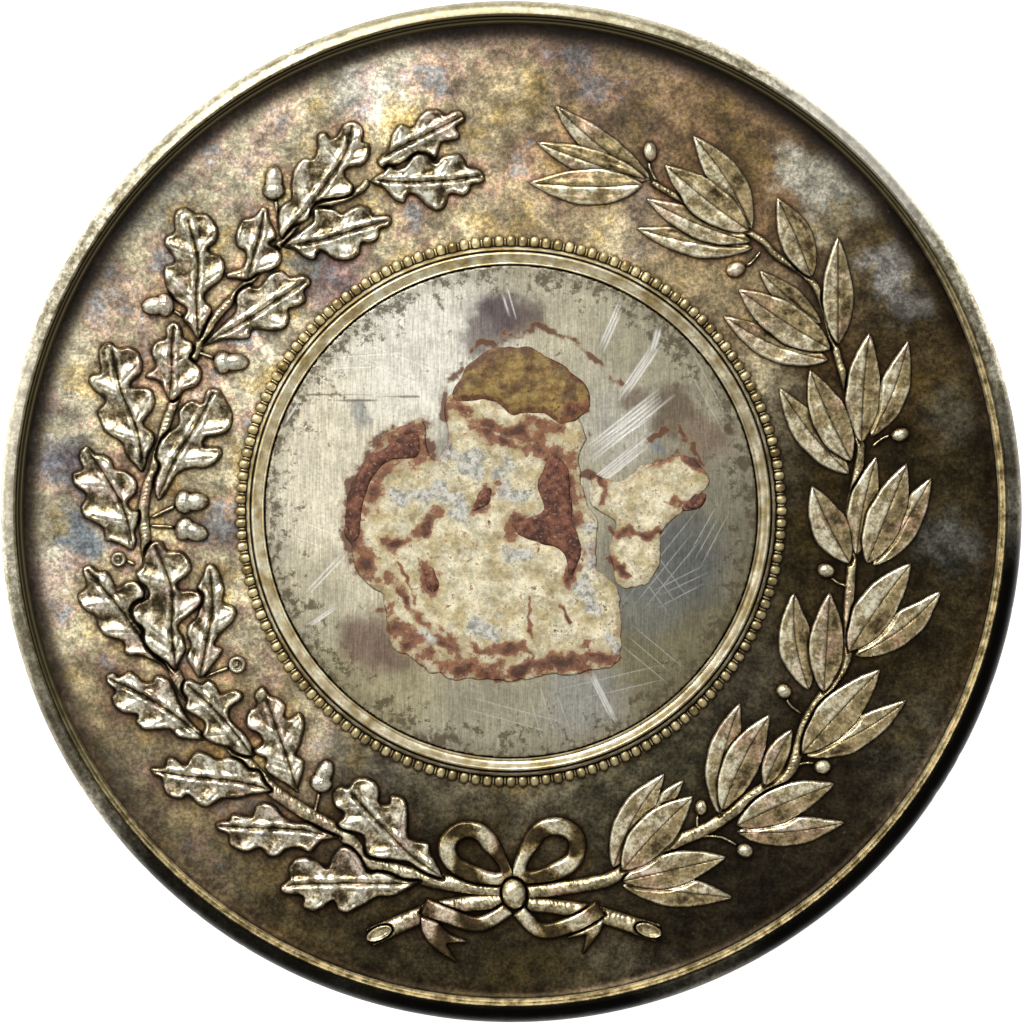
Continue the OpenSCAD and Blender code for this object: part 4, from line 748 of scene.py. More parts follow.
def silver_field_material():
    """Struck silver, toned for decades: sulphide browns and greys, cream where it is rubbed, with painted light laid
    over it: lighter to the upper left, darker to the lower right, and a painted shadow of the rim along the top.
    """
    mat, tree = new_material("toned_silver_field_with_painted_light")
    at = place_of(tree)
    colour = painted(tree, at, linear("#D6C9A6"), FIELD_TONES_AND_LIGHT, 4.5, 2.0)
    cloud = grain(tree, at, 3.4, 8.0, 0.72)
    hue = grain(tree, at, 2.6, 7.0, 0.66)
    mottle = grain(tree, at, 0.75, 8.0, 0.8)
    fine = grain(tree, at, 0.2, 4.0, 0.75)
    # the thin film turns pink, purple and blue where it thickens
    lit = towards(tree, at, -0.85, 0.45, -5.0, 9.0)
    colour = blend(tree, product(tree, lit, ramp(tree, hue, 0.5, 0.58, 0.0, 0.3)), colour, "#A4605E", "COLOR")
    colour = blend(tree, product(tree, lit, ramp(tree, hue, 0.56, 0.64, 0.0, 0.4)), colour, "#5F7F8C", "COLOR")
    colour = blend(tree, ramp(tree, hue, 0.46, 0.38, 0.0, 0.45), colour, "#8C7436", "COLOR")
    factor = product(tree, ramp(tree, cloud, 0.38, 0.62, 0.55, 1.3), ramp(tree, mottle, 0.38, 0.62, 0.58, 1.4),
                     ramp(tree, fine, 0.38, 0.62, 0.62, 1.34))
    colour = scaled(tree, colour, factor)
    # painted shadow of the rim on the field, along the top of the medal
    out = add(tree, "ShaderNodeVectorMath", {"operation": "LENGTH"}, _0=at).outputs["Value"]
    under = total(tree, out, centred(tree, mottle, 1.4))
    shade = product(tree, towards(tree, at, -0.4, 0.9, -14.0, 4.0), ramp(tree, under, 22.8, 23.8, 0.0, 0.9))
    colour = blend(tree, shade, colour, "#17130D")
    colour = blend(tree, ramp(tree, fine, 0.66, 0.72, 0.0, 0.5), colour, "#B5A27A")
    # a golden halo beside the relief, and black tarnish with painted shade in the corner itself
    colour = blend(tree, crevice(tree, 0.8, 0.7, 0.96), colour, "#7E4F28", "SOFT_LIGHT")
    colour = blend(tree, crevice(tree, 0.22, 0.62, 0.95), colour, "#120C05")
    rough = ramp(tree, mottle, 0.3, 0.7, 0.36, 0.55)
    dark = towards(tree, at, 0.7, -0.7, -4.0, 9.0)
    finish(tree, colour, ramp(tree, dark, 0.0, 1.0, 0.5, 0.9), rough, fine, 0.3, 0.02)
    return mat


def silver_relief_material(name, bright, body, shade, hollow, dirt):
    """Struck silver on raised work: rubbed bright on top, with tarnish and painted shade left in the hollows and the
    corners.
    """
    mat, tree = new_material(name)
    at = place_of(tree)
    rise = value_of(tree, "rise")
    vein = value_of(tree, "vein")
    mottle = grain(tree, at, 0.6, 7.0, 0.75)
    fine = grain(tree, at, 0.16, 4.0, 0.75)
    hue = grain(tree, at, 2.4, 4.0, 0.65)
    # high places are laid bright and low ones dark, as wear with tarnish and as painted shade; on the laurel the rise
    # value also carries painted light
    wear_and_shade = total(tree, rise, centred(tree, mottle, 1.5))
    colour = blend(tree, ramp(tree, wear_and_shade, 0.4, 0.85), body, bright)
    colour = blend(tree, ramp(tree, hue, 0.54, 0.62, 0.0, 0.28), colour, "#9C6C6A", "COLOR")
    colour = blend(tree, ramp(tree, wear_and_shade, hollow, hollow - 0.4, 0.0, 0.85), colour, shade)
    factor = product(tree, ramp(tree, mottle, 0.38, 0.62, 1 - dirt, 1.2), ramp(tree, fine, 0.36, 0.62, 0.6, 1.3))
    colour = scaled(tree, colour, factor)
    colour = blend(tree, ramp(tree, vein, 0.25, 0.9, 0.0, 0.85), colour, "#20180E")
    # tarnish and painted shade in the corners beside other work
    colour = blend(tree, crevice(tree, 0.16, 0.5, 0.8), colour, "#1A130A")
    rough = ramp(tree, mottle, 0.3, 0.7, 0.26, 0.42)
    finish(tree, colour, 0.82, rough, fine, 0.35, 0.02)
    return mat


# Painted light and shade on the rim, (x, y, reach, strength, colour) in mm: near black along the bottom and the right,
# where the rim faces away from the light, greyer at the top, and painted highlights at the upper right and the left.
RIM_PAINTED_LIGHT = [
    (0.0, -25.0, 13.0, 1.0, "#070502"), (25.0, -8.0, 11.0, 1.0, "#0B0905"), (18.0, -18.0, 13.0, 1.0, "#080603"),
    (-14.0, -20.5, 10.0, 0.97, "#120F08"), (-24.5, -7.5, 3.5, 0.5, "#6F664F"), (-22.5, -11.5, 3.0, 0.7, "#4A4130"),
    (24.8, 3.5, 3.0, 0.7, "#3F3A2D"), (4.0, 25.0, 7.0, 0.6, "#8D8567"), (-5.0, 24.6, 6.0, 0.75, "#857C5E"),
    (-15.0, 20.0, 6.0, 0.3, "#9A9172"), (17.5, 18.0, 6.0, 0.6, "#F6F2E2"), (-24.8, 3.0, 6.0, 0.4, "#F2EAD2"),
]


def silver_rim_material():
    """Struck silver on the rim: rubbed by handling, with small dents and dark streaks, and painted light and shade
    laid over it round the ring.
    """
    mat, tree = new_material("rubbed_silver_rim_with_painted_light")
    at = place_of(tree)
    mottle = grain(tree, at, 0.7, 8.0, 0.78)
    fine = grain(tree, at, 0.2, 4.0, 0.7)
    colour = blend(tree, ramp(tree, mottle, 0.38, 0.6), "#94896A", "#EAE2C8")
    colour = scaled(tree, colour, ramp(tree, fine, 0.4, 0.62, 1.1, 0.5))
    # painted light and shade round the rim
    colour = painted(tree, at, colour, RIM_PAINTED_LIGHT, 1.5, 1.5)
    # tarnish and painted shade in the corners
    colour = blend(tree, crevice(tree, 0.3, 0.5, 0.85), colour, "#171209")
    rough = ramp(tree, mottle, 0.3, 0.7, 0.34, 0.5)
    finish(tree, colour, 0.92, rough, fine, 0.4, 0.02)
    return mat


def silver_step_material():
    """Struck silver on the step inside the rim: painted bright all round as a line that catches the light, and painted
    dark where the rim shades it.
    """
    mat, tree = new_material("bright_silver_step")
    at = place_of(tree)
    mottle = grain(tree, at, 0.6, 6.0, 0.75)
    # painted highlight: the whole step is laid bright
    colour = blend(tree, ramp(tree, mottle, 0.38, 0.6), "#8F7C4E", "#F6E4B2")
    # painted shade on the upper left of the ring, where the rim shades the step
    colour = blend(tree, towards(tree, at, -0.5, 0.87, -10.0, 6.0), colour, "#5B5238")
    finish(tree, colour, 0.6, ramp(tree, mottle, 0.3, 0.7, 0.3, 0.45), mottle, 0.2, 0.015)
    return mat


# Stains on the plate, with a painted reflection laid in: bright cream on the left and the upper left, darker olive
# grey on the right; (x, y, reach, strength, colour) in mm.
PLATE_TONES_AND_REFLECTION = [
    (10.0, -6.0, 8.0, 0.95, "#7F7758"), (9.4, 0.0, 5.0, 0.75, "#85806C"), (-7.5, 3.0, 8.0, 0.95, "#F9EED2"),
    (-4.0, 8.0, 4.8, 0.95, "#FFFAE8"), (0.0, -10.2, 5.0, 0.7, "#A39C82"), (8.0, 7.0, 5.0, 0.75, "#A8A186"),
    (-6.5, -8.0, 3.6, 0.8, "#AFA47C"), (-0.7, 9.6, 1.7, 0.95, "#655557"), (-1.6, 8.4, 1.2, 0.85, "#857A74"),
    (0.9, 9.4, 1.0, 0.8, "#6E6056"), (5.4, 4.4, 2.5, 0.85, "#C9C4B2"), (8.0, 5.0, 1.5, 0.85, "#75634F"),
    (5.9, 5.6, 0.9, 0.8, "#836F5C"), (-2.6, 2.8, 1.6, 0.85, "#9C9B8E"), (9.6, 3.6, 1.3, 0.8, "#84705C"),
    (7.6, -2.5, 3.2, 0.85, "#686A68"), (-7.0, -6.4, 1.7, 0.8, "#846A5E"), (-5.6, -7.2, 1.2, 0.8, "#86705F"),
    (-7.6, 4.9, 0.7, 0.8, "#9DA099"), (6.5, -4.5, 1.8, 0.6, "#8A8A80"), (3.5, -9.0, 2.2, 0.6, "#9FA09C"),
    (7.4, 3.0, 0.5, 0.7, "#969CA0"), (3.9, 6.6, 1.3, 0.7, "#CFC7AE"), (-9.8, -3.5, 2.2, 0.5, "#C7BD9C"),
]
# Scratches on the plate: from, to, how many lie side by side, how far they spread, width, in mm.
SCRATCHES = [
    ((5.35, 10.1), (4.4, 7.9), 3, 0.28, 0.045), ((7.25, 9.0), (6.9, 7.8), 2, 0.16, 0.06),
    ((6.95, 7.9), (5.5, 5.8), 4, 0.35, 0.045), ((7.3, 5.6), (4.0, 3.0), 5, 0.7, 0.045),
    ((6.8, 3.6), (3.9, 1.2), 5, 0.5, 0.04), ((6.4, 4.6), (4.6, 3.4), 3, 0.5, 0.035),
    ((-0.5, 10.9), (0.0, 9.3), 1, 0.0, 0.045), ((-0.2, 11.0), (0.2, 9.6), 1, 0.0, 0.03),
    ((3.9, -7.9), (5.1, -10.3), 3, 0.2, 0.04), ((-8.3, -2.2), (-9.9, -3.9), 2, 0.2, 0.035),
    ((-8.6, -4.7), (-9.8, -5.5), 2, 0.1, 0.035), ((-8.3, 0.4), (-10.6, 2.8), 2, 0.25, 0.02),
    ((-3.9, -7.1), (-4.3, -7.7), 1, 0.0, 0.045), ((-10.3, 5.5), (-11.2, 4.1), 1, 0.0, 0.04),
    ((-1.0, 0.1), (-3.9, -1.4), 2, 0.25, 0.03), ((-0.4, 1.2), (-4.2, 0.0), 2, 0.4, 0.03),
    ((8.9, -0.6), (5.9, -4.2), 4, 1.6, 0.02), ((9.6, -3.0), (7.2, -4.2), 3, 0.8, 0.02),
    ((6.0, -1.6), (8.2, -4.6), 3, 1.2, 0.02), ((10.4, 0.2), (8.9, -2.6), 3, 0.7, 0.02),
    ((5.6, -6.0), (8.0, -8.0), 3, 1.1, 0.018), ((3.0, -8.9), (7.4, -7.9), 2, 0.7, 0.018),
    ((1.5, -8.8), (2.3, -11.2), 3, 1.3, 0.018), ((-2.0, -9.4), (2.4, -10.6), 2, 0.6, 0.018),
    ((-9.9, 7.2), (-5.2, 7.5), 2, 0.5, 0.018), ((-8.2, 8.2), (-3.6, 6.4), 2, 0.8, 0.018),
    ((-11.3, -0.5), (-8.4, -1.6), 2, 0.8, 0.018), ((8.2, 8.4), (10.4, 4.4), 2, 0.6, 0.02),
]
DARK_LINES = [([(-10.0, 5.7), (-7.2, 5.68), (-4.5, 5.6)], 0.03), ([(-9.4, 5.4), (-6.0, 5.45)], 0.015)]


def scratch_lines():
    """Every single scratch as a pair of ends and a width."""
    lines = []
    for a, b, count, spread, wide in SCRATCHES:
        a, b = np.array(a), np.array(b)
        run = b - a
        side = across(run)
        for k in range(count):
            t = 0 if count == 1 else k / (count - 1) - 0.5
            n1, n2 = (noise.noise(Vector((a[0] * 3 + k * 5.1, b[1] * 3, q))) for q in (1.0, 2.0))
            lines.append((a + side * spread * t + run * 0.3 * n1, b + side * spread * (t + 0.25 * n2) + run * 0.3 * n2,
                          wide))
    return lines


def scratch_points(lines):
    """Points close along each scratch, so that the mark stays crisp."""
    out = []
    for a, b, wide in lines:
        run = b - a
        length = np.linalg.norm(run)
        side = across(run)
        for t in np.arange(0, 1, 0.09 / length):
            for off in (-1.9, -0.9, 0.0, 0.9, 1.9):
                out.append(a + run * t + side * off * wide)
    return np.array(out)


def silver_plate_material():
    """Silver sheet finish, brushed upright and stained, with a painted reflection: cream on the left and grey-olive on
    the right.
    """
    mat, tree = new_material("brushed_silver_plate")
    at = place_of(tree)
    colour = painted(tree, at, linear("#CFC6AA"), PLATE_TONES_AND_REFLECTION, 2.2, 1.4)
    brush = grain(tree, at, 0.5, 6.0, 0.75, (8, 0.45, 1))
    cloud = grain(tree, at, 1.7, 8.0, 0.76)
    mottle = grain(tree, at, 0.5, 8.0, 0.8)
    fine = grain(tree, at, 0.16, 4.0, 0.75)
    factor = product(tree, ramp(tree, brush, 0.36, 0.64, 0.78, 1.16), ramp(tree, cloud, 0.36, 0.64, 0.84, 1.12),
                     ramp(tree, fine, 0.38, 0.62, 0.86, 1.1))
    colour = scaled(tree, colour, factor)
    # dark specks, thickest towards the moulding
    out = add(tree, "ShaderNodeVectorMath", {"operation": "LENGTH"}, _0=at).outputs["Value"]
    edge = ramp(tree, out, 10.0, 12.3)
    speck = total(tree, mottle, centred(tree, cloud, 0.5), product(tree, edge, 0.13))
    colour = blend(tree, ramp(tree, speck, 0.6, 0.69, 0.0, 0.85), colour, "#554A33")
    # darker in a narrow ring next to the moulding
    colour = blend(tree, product(tree, ramp(tree, out, 11.6, 12.2), 0.25), colour, "#5E5239")
    stain = total(tree, value_of(tree, "red"), centred(tree, mottle, 2.2))
    colour = blend(tree, ramp(tree, stain, 0.25, 0.5, 0.0, 0.5), colour, "#A48A68")
    colour = blend(tree, ramp(tree, stain, 0.5, 0.7, 0.0, 0.85), colour, "#6B4231")
    colour = blend(tree, ramp(tree, value_of(tree, "dark"), 0.1, 0.6, 0.0, 0.7), colour, "#5E5340")
    colour = blend(tree, value_of(tree, "scratch"), colour, "#F8F5EC")
    # painted shade in the corner along the moulding and beside the residue
    colour = blend(tree, crevice(tree, 0.2, 0.45, 0.75), colour, "#241C10")
    rough = ramp(tree, brush, 0.3, 0.7, 0.34, 0.5)
    finish(tree, colour, 0.45, rough, brush, 0.15, 0.02)
    return mat


def silver_moulding_material(name, low, high):
    """Struck silver ridges, bright on their crests and black between them with painted shade, and painted lighter
    towards the upper left, where the light falls.
    """
    mat, tree = new_material(name)
    at = place_of(tree)
    mottle = grain(tree, at, 0.8, 6.0, 0.7)
    fine = grain(tree, at, 0.2, 4.0, 0.6)
    colour = blend(tree, ramp(tree, mottle, 0.38, 0.6), low, high)
    # painted light: lighter towards the upper left
    colour = blend(tree, towards(tree, at, -0.8, 0.6, -9.0, 9.0), colour, scaled(tree, colour, 1.5))
    colour = scaled(tree, colour, ramp(tree, fine, 0.38, 0.62, 1.1, 0.6))
    # painted shade between the ridges and between the beads
    colour = blend(tree, crevice(tree, 0.2, 0.45, 0.82), colour, "#20180C")
    finish(tree, colour, 0.6, ramp(tree, mottle, 0.3, 0.7, 0.28, 0.42), fine, 0.2, 0.015)
    return mat


def glue_material(name, pale, warm, dark, red, edge):
    """Dried glue: cracked and chalky, bare silver where it has flaked, stained red at its edges."""
    mat, tree = new_material(name)
    at = place_of(tree)
    mottle = grain(tree, at, 1.1, 7.0, 0.72)
    fine = grain(tree, at, 0.3, 5.0, 0.75)
    other = grain(tree, at, 0.8, 8.0, 0.8)
    colour = blend(tree, ramp(tree, mottle, 0.38, 0.62), warm, pale)
    factor = product(tree, ramp(tree, fine, 0.36, 0.64, 0.72, 1.22), ramp(tree, other, 0.38, 0.62, 0.74, 1.2))
    colour = scaled(tree, colour, factor)
    colour = blend(tree, ramp(tree, fine, 0.5, 0.68, 0.0, 0.4), colour, dark)
    bare = ragged_share(tree, value_of(tree, "bare"), other, 0.42, 0.6, 2.2)
    colour = blend(tree, bare, colour, blend(tree, ramp(tree, fine, 0.38, 0.62), "#8C8A7C", "#EAE6D8"))
    rise = value_of(tree, "rise")
    rim = ragged_share(tree, ramp(tree, rise, 0.0, 0.6, 0.7, 0.0), other, 0.55, 0.8, 2.2)
    colour = blend(tree, product(tree, rim, edge), colour, red)
    stain = total(tree, value_of(tree, "red"), centred(tree, other, 2.2), centred(tree, fine, 1.3))
    colour = blend(tree, ramp(tree, stain, 0.16, 0.42, 0.0, 0.55), colour, "#A88458")
    crust = blend(tree, ramp(tree, fine, 0.4, 0.6), red, "#96603F")
    colour = blend(tree, ramp(tree, stain, 0.4, 0.56, 0.0, 0.9), colour, crust)
    colour = blend(tree, ramp(tree, stain, 0.75, 1.05, 0.0, 0.85), colour, "#3B2015")
    speck = ramp(tree, fine, 0.57, 0.64)
    colour = blend(tree, product(tree, speck, ramp(tree, mottle, 0.4, 0.6, 0.25, 0.9)), colour, red)
    colour = blend(tree, ramp(tree, other, 0.36, 0.31, 0.0, 0.85), colour, "#2C1D10")
    cell = add(tree, "ShaderNodeTexVoronoi", {"feature": "DISTANCE_TO_EDGE"}, Vector=at, Scale=1.3).outputs["Distance"]
    colour = blend(tree, ramp(tree, cell, 0.0, 0.025, 0.3, 0.0), colour, dark)
    bump = total(tree, fine, product(tree, other, 1.5))
    finish(tree, colour, 0.0, 0.6, bump, 0.6, 0.05)
    return mat


def crust_material():
    """Red brown crust, like dry sealing wax ground into the glue."""
    mat, tree = new_material("dry_red_crust")
    at = place_of(tree)
    mottle = grain(tree, at, 0.6, 6.0, 0.75)
    fine = grain(tree, at, 0.2, 4.0, 0.7)
    colour = blend(tree, ramp(tree, mottle, 0.38, 0.62), "#45241A", "#84523C")
    colour = blend(tree, ramp(tree, fine, 0.54, 0.64, 0.0, 0.7), colour, "#26130E")
    colour = blend(tree, ramp(tree, fine, 0.42, 0.34, 0.0, 0.7), colour, "#B59872")
    finish(tree, colour, 0.0, 0.75, fine, 0.7, 0.05)
    return mat


def side_material():
    """Toned silver on the edge and the back: fine turning lines, brown tarnish and rubbed patches."""
    mat, tree = new_material("toned_silver_back")
    at = place_of(tree)
    cloud = grain(tree, at, 3.0, 8.0, 0.72)
    mottle = grain(tree, at, 0.8, 8.0, 0.78)
    fine = grain(tree, at, 0.2, 4.0, 0.75)
    lines = grain(tree, at, 1.0, 4.0, 0.7, (0.5, 0.5, 12))
    colour = blend(tree, ramp(tree, cloud, 0.34, 0.66), "#7D7152", "#B3A682")
    colour = blend(tree, ramp(tree, mottle, 0.52, 0.66, 0.0, 0.45), colour, "#4A3D28")
    factor = product(tree, ramp(tree, fine, 0.38, 0.62, 0.75, 1.25), ramp(tree, lines, 0.36, 0.64, 0.8, 1.15))
    colour = scaled(tree, colour, factor)
    # tarnish and painted shade in the corners
    colour = blend(tree, crevice(tree, 0.3, 0.5, 0.85), colour, "#171209")
    rough = ramp(tree, mottle, 0.3, 0.7, 0.34, 0.52)
    finish(tree, colour, 0.85, rough, fine, 0.35, 0.02)
    return mat


# ---------------------------------------------------------------- heights of the relief


def oak_outline(leaf):
    """The lobed outline of an oak leaf."""
    return smooth_curve(leaf[2], 3, True)


def laurel_axis(leaf):
    """The bowed midrib of a laurel leaf, from base to tip."""
    base, tip = np.array(leaf[0]), np.array(leaf[1])
    run = tip - base
    t = np.linspace(0, 1, 25)[:, None]
    return base + run * t + across(run) * leaf[3] * np.sin(np.pi * t)


def laurel_outline(leaf):
    """A blade that is widest below its middle, with edges that waver a little."""
    axis = laurel_axis(leaf)
    side = sides(axis)
    t = np.linspace(0, 1, len(axis))
    half = 1.14 * leaf[2] / 2 * np.sin(np.pi * t**0.88) ** 0.85
    left = half * (1 + 0.1 * ripple(axis, 1.0, 3))
    right = half * (1 + 0.1 * ripple(axis, 1.0, 6))
    left[0] = left[-1] = right[0] = right[-1] = 0
    return np.concatenate([axis + side * left[:, None], (axis - side * right[:, None])[-2:0:-1]])


def far_corners(outline, midrib):
    """The lobe ends of an oak leaf: the places on its outline that stand out from the midrib."""
    d, along = distance_to(outline, midrib, False)[:2]
    ends = []
    n = len(outline)
    reach = max(3, n // 30)
    for i in range(n):
        around = [d[(i + k) % n] for k in range(-reach, reach + 1)]
        if d[i] == max(around) and d[i] > 0.3:
            ends.append((outline[i], along[i]))
    return ends


def side_veins(outline, midrib):
    """A vein from the midrib to each lobe end, leaving the midrib nearer the base."""
    rib = smooth_curve(midrib, 8, False)
    seg = np.concatenate([[0], np.cumsum(np.linalg.norm(np.diff(rib, axis=0), axis=1))])
    veins = []
    for end, along in far_corners(outline, rib):
        foot_at = max(0.0, along - 0.75 * distance_to(end[None], rib, False)[0][0])
        foot = np.array([np.interp(foot_at, seg, rib[:, 0]), np.interp(foot_at, seg, rib[:, 1])])
        veins.append(np.array([foot, foot + (end - foot) * 0.8]))
    return rib, veins


def dipped(points, above, reach):
    """1 away from the outlines that lie on top, and down to 0 beside and under them."""
    keep = np.ones(len(points))
    for line in above:
        low, high = line.min(0) - reach, line.max(0) + reach
        near = ((points > low) & (points < high)).all(1)
        if not near.any():
            continue
        sub = points[near]
        d = distance_to(sub, line, True)[0]
        d = np.where(inside(sub, [line]), -d, d)
        keep[near] = np.minimum(keep[near], ease(d / reach))
    return keep


def oak_height(leaf, top, above, seed):
    """An oak leaf: rolled border, sunk ribs between swellings, and a dip under what lies on it."""
    outline = oak_outline(leaf)
    rib, veins = side_veins(outline, leaf[1])

    def height(points, edge):
        to_rib = distance_to(points, rib, False)[0]
        to_vein = np.min([distance_to(points, v, False)[0] for v in veins] + [to_rib + 0.25], axis=0)
        border = 1 - np.exp(-edge / 0.09)
        swell = np.exp(-(to_vein / 0.36) ** 2)
        lip = np.exp(-((edge - 0.15) / 0.1) ** 2)
        bank = np.exp(-((to_rib - 0.22) / 0.12) ** 2)
        wave = ripple(points, 0.7, seed)
        h = border * (0.42 + 0.34 * swell + 0.2 * lip + 0.16 * bank + 0.13 * wave)
        h = h - border * 0.24 * np.exp(-(to_rib / 0.1) ** 2) - border * 0.08 * np.exp(-(to_vein / 0.07) ** 2)
        h = np.clip(h, 0.05, 1) * (0.12 + 0.88 * dipped(points, above, 0.2))
        vein = np.maximum(np.exp(-(to_rib / 0.06) ** 2), 0.55 * np.exp(-(to_vein / 0.045) ** 2))
        return top * h, {"rise": h, "vein": vein * ease(edge / 0.2)}

    return height


def laurel_height(leaf, top, above, seed):
    """A laurel leaf: flat blade, raised lip, sunk midrib and a fine second line on each half."""
    axis = laurel_axis(leaf)
    length = np.linalg.norm(np.diff(axis, axis=0), axis=1).sum()

    def height(points, edge):
        to_rib, along, side = distance_to(points, axis, False)
        border = 1 - np.exp(-edge / 0.06)
        lip = np.exp(-((edge - 0.1) / 0.07) ** 2)
        bank = np.exp(-((to_rib - 0.16) / 0.09) ** 2)
        rib = np.exp(-(to_rib / 0.045) ** 2)
        inner = ease(along / length / 0.2) * ease((1 - along / length) / 0.25)
        second = np.exp(-((to_rib - 0.26 * leaf[2]) / 0.035) ** 2) * inner
        wave = ripple(points, 0.8, seed)
        tilt = 0.22 * side * np.minimum(to_rib / leaf[2] * 2, 1)
        h = border * (0.68 + 0.12 * lip + 0.06 * bank - 0.14 * rib - 0.05 * second + 0.2 * wave + tilt)
        h = np.clip(h, 0.05, 1.1) * (0.1 + 0.9 * dipped(points, above, 0.15))
        vein = np.maximum(1.1 * rib, 0.6 * second) * ease(edge / 0.12)
        # painted light and shade: one half of each leaf and its base are laid darker, as light falls on a folded leaf,
        # besides brighter on the raised lip and the swells
        bright = 0.42 + 0.42 * lip + 0.1 * bank + 0.35 * wave + 0.16 * side - 0.3 * np.exp(-along / 0.5)
        return top * h, {"rise": np.clip(bright, 0, 1), "vein": vein}

    return height


def stem_height(path, w0, w1, top, above, twist):
    """A round stem with bark ridges that wind round it by the twist."""
    length = np.linalg.norm(np.diff(path, axis=0), axis=1).sum()

    def height(points, edge):
        off, along, side = distance_to(points, path, False)
        half = (w0 + (w1 - w0) * along / length) / 2
        v = np.clip(off / half, 0, 1)
        drift = ripple(points, 0.8, 31)
        ribs = np.sin(math.tau * (along / 0.24 + twist * side * v * 0.7 + 1.4 * drift)) * ease(0.7 + drift)
        h = top * np.sqrt(1 - 0.92 * v * v) * (0.94 + 0.05 * ribs + 0.12 * ripple(points, 0.3, 33))
        h = h * (0.1 + 0.9 * dipped(points, above, 0.14))
        return h, {"rise": np.clip(0.1 + 0.7 * h / top, 0, 1), "vein": 0.45 * ease((-ribs - 0.2) / 0.8)}

    return height


def ribbon_height(path, width, top, above):
    """A ribbon with lengthwise ribs and soft folds."""

    def height(points, edge):
        off, along, side = distance_to(points, path, False)
        v = np.clip(off / (width / 2), 0, 1)
        ribs = np.cos(math.tau * off / 0.2)
        fold = np.sin(along * 2.3 + 0.8 * side * v)
        h = top * (1 - np.exp(-edge / 0.07)) * (0.72 + 0.16 * v * v + 0.14 * fold + 0.08 * ripple(points, 0.6, 35))
        h = h * (0.12 + 0.88 * dipped(points, above, 0.16))
        vein = 0.28 * ease(-ribs) * ease(edge / 0.1)
        return h, {"rise": np.clip(0.1 + 0.45 * fold + 0.5 * h / top, 0, 1), "vein": vein}

    return height


def dome_height(center, half_long, half_wide, angle, top, pits):
    """Half an egg on the field, with a net of small pits on it."""
    c, s = math.cos(math.radians(angle)), math.sin(math.radians(angle))

    def height(points, edge):
        p = points - np.array(center)
        u = (p[:, 0] * c + p[:, 1] * s) / half_long
        v = (-p[:, 0] * s + p[:, 1] * c) / half_wide
        h = top * np.sqrt(np.clip(1 - (u * u + v * v) * 0.97, 0.0, 1))
        net = np.sin((p[:, 0] + p[:, 1]) * math.tau / 0.3) * np.sin((p[:, 0] - p[:, 1]) * math.tau / 0.3)
        h = h * (1 - pits * 0.12 * ease(-net))
        return h, {"rise": np.clip(h / top, 0, 1), "vein": pits * 0.5 * ease(-net * 1.4)}

    return height


def egg_outline(center, half_long, half_wide, angle, count=28):
    """A turned oval, in millimetres and degrees."""
    a = np.linspace(0, math.tau, count, endpoint=False)
    c, s = math.cos(math.radians(angle)), math.sin(math.radians(angle))
    x, y = np.cos(a) * half_long, np.sin(a) * half_wide
    return np.stack([center[0] + x * c - y * s, center[1] + x * s + y * c], 1)


def egg(shape, top, pits, step):
    """Half an egg struck on the field. Its shape is centre, half length, half width and angle."""
    return shell([egg_outline(*shape)], dome_height(*shape, top, pits), step, FIELD_Z)


def stem(path, w0, w1, top, above, twist, step):
    """A stem struck along a path, from one width to another."""
    return shell([band_outline(path, w0, w1)], stem_height(path, w0, w1, top, above, twist), step, FIELD_Z)


def widened(loop, d):
    """A closed curve moved outwards from its middle."""
    line = smooth_curve(loop, 5, True)
    middle = line.mean(0)
    out = line - middle
    return line + out / np.linalg.norm(out, axis=1)[:, None] * d


def bow_outlines():
    """The knot and the two loops, which lie on top of leaves and stems."""
    return [egg_outline(*KNOT_EGG), widened(LOOP_LEFT, RIBBON_W / 2), widened(LOOP_RIGHT, RIBBON_W / 2)]


# ---------------------------------------------------------------- settings and operators


class MedalRelief(bpy.types.PropertyGroup):
    """Heights of the struck work above the field, and how finely it is modelled."""

    oak: bpy.props.FloatProperty(name="Oak leaves", description="Height of the oak leaves", default=0.5 * MM,
                                 min=0.1 * MM, max=0.8 * MM, subtype="DISTANCE", unit="LENGTH")
    laurel: bpy.props.FloatProperty(name="Laurel leaves", description="Height of the laurel leaves",
                                    default=0.25 * MM, min=0.1 * MM, max=0.8 * MM, subtype="DISTANCE", unit="LENGTH")
    stem: bpy.props.FloatProperty(name="Stems", description="Height of the stems", default=0.34 * MM,
                                  min=0.1 * MM, max=0.6 * MM, subtype="DISTANCE", unit="LENGTH")
    ribbon: bpy.props.FloatProperty(name="Ribbon", description="Height of the ribbon", default=0.42 * MM,
                                    min=0.1 * MM, max=0.7 * MM, subtype="DISTANCE", unit="LENGTH")
    step: bpy.props.FloatProperty(name="Mesh step", description="Distance between points of a struck surface",
                                  default=0.075 * MM, min=0.04 * MM, max=0.3 * MM, subtype="DISTANCE", unit="LENGTH")


class MedalRim(bpy.types.PropertyGroup):
    """Shape of the rim, the moulding and the beads."""

    step_w: bpy.props.FloatProperty(name="Step width", description="Width of the step inside the rim",
                                    default=0.35 * MM, subtype="DISTANCE", unit="LENGTH")
    step_drop: bpy.props.FloatProperty(name="Step drop", description="Depth of the step below the rim",
                                       default=0.25 * MM, subtype="DISTANCE", unit="LENGTH")
    turns: bpy.props.IntProperty(name="Turns", description="Sides of each turned ring", default=360, min=60, max=720)
    beads: bpy.props.IntProperty(name="Beads", description="Beads in the ring", default=144, min=96, max=160)


def relief():
    """The relief's settings."""
    return bpy.context.scene.medal_relief


def finest():
    """The mesh step in millimetres."""
    return relief().step / MM


